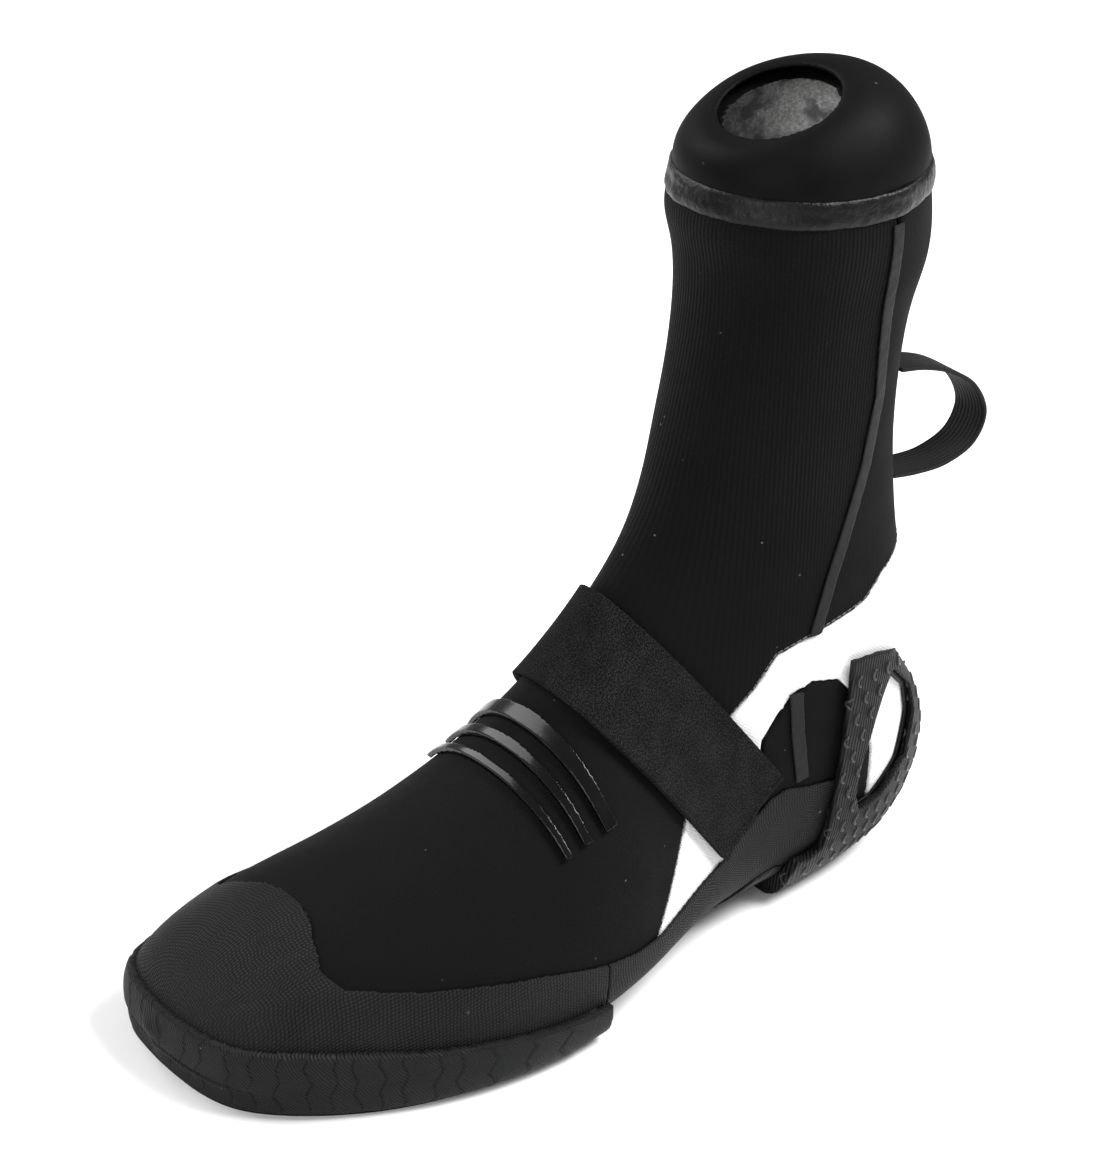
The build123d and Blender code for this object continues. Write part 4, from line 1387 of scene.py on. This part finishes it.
class BOOT_OT_stage(Operator):
    """Sets up the floor, the lights and the camera"""

    bl_idname = "boot.stage"
    bl_label = "Stage"

    def execute(self, context):
        scene = context.scene
        scene.view_settings.view_transform = "Standard"
        bpy.ops.mesh.primitive_plane_add(size=8, location=(0, 0, 0))
        floor = context.active_object
        floor.name = "studio_floor"
        material = bpy.data.materials.new("Studio paper")
        material.use_nodes = True
        paper = material.node_tree.nodes["Principled BSDF"].inputs
        paper["Base Color"].default_value = (0.93, 0.93, 0.93, 1)
        paper["Roughness"].default_value = 0.9
        floor.data.materials.append(material)

        world = bpy.data.worlds.new("Studio")
        scene.world = world
        world.use_nodes = True
        tree = world.node_tree
        seen = put(tree, "ShaderNodeLightPath").outputs["Is Camera Ray"]
        strength = ramp(tree, seen, 0, 1, 0.3, 1.0)
        tree.links.new(strength, tree.nodes["Background"].inputs["Strength"])
        tree.nodes["Background"].inputs["Color"].default_value = (1, 1, 1, 1)

        target = Vector((0, 0, 0.12))
        for name, place, size, power in LIGHTS:
            bpy.ops.object.light_add(type="AREA", location=place)
            light = context.active_object
            light.name = f"light_{name}"
            light.data.size = size
            light.data.energy = power
            light.rotation_euler = (target - light.location).to_track_quat("-Z", "Y").to_euler()

        azimuth, elevation, roll = (math.radians(angle) for angle in VIEW_ANGLES)
        back = Vector((
            math.sin(azimuth) * math.cos(elevation),
            -math.cos(azimuth) * math.cos(elevation),
            math.sin(elevation),
        ))
        level = Vector((math.cos(azimuth), math.sin(azimuth), 0))
        rise = back.cross(level)
        right = level * math.cos(roll) + rise * math.sin(roll)
        up = rise * math.cos(roll) - level * math.sin(roll)
        eye = VIEW_TARGET + back * VIEW_DISTANCE
        camera = bpy.data.objects.new("camera", bpy.data.cameras.new("camera"))
        scene.collection.objects.link(camera)
        turn = Matrix((right, up, back)).transposed().to_4x4()
        camera.matrix_world = Matrix.Translation(eye) @ turn
        camera.data.lens = LENS
        camera.data.sensor_width = SENSOR_WIDTH
        scene.camera = camera
        return {"FINISHED"}


OPERATORS = (
    BOOT_OT_stage, BOOT_OT_finishes, BOOT_OT_panels, BOOT_OT_rands, BOOT_OT_cuff, BOOT_OT_insole,
    BOOT_OT_sole, BOOT_OT_cage, BOOT_OT_trims, BOOT_OT_strap, BOOT_OT_loop, BOOT_OT_stitching,
)


class BOOT_PT_maker(Panel):
    """Lists the boot's sizes, colours and steps"""

    bl_idname = "BOOT_PT_maker"
    bl_label = "Neoprene Boot"
    bl_space_type = "VIEW_3D"
    bl_region_type = "UI"
    bl_category = "Boot"

    def draw(self, context):
        for name in BootLooks.__annotations__:
            self.layout.prop(context.scene.boot_looks, name)
        for operator in OPERATORS:
            self.layout.operator(operator.bl_idname)


def register():
    for item in (BootLooks, *OPERATORS, BOOT_PT_maker):
        bpy.utils.register_class(item)
    bpy.types.Scene.boot_looks = PointerProperty(type=BootLooks)


def unregister():
    del bpy.types.Scene.boot_looks
    for item in reversed((BootLooks, *OPERATORS, BOOT_PT_maker)):
        bpy.utils.unregister_class(item)


def main():
    """Makes the whole boot, step by step."""
    register()
    for operator in OPERATORS:
        group, name = operator.bl_idname.split(".")
        getattr(getattr(bpy.ops, group), name)()
    deselect()


if __name__ == "__main__":
    main()
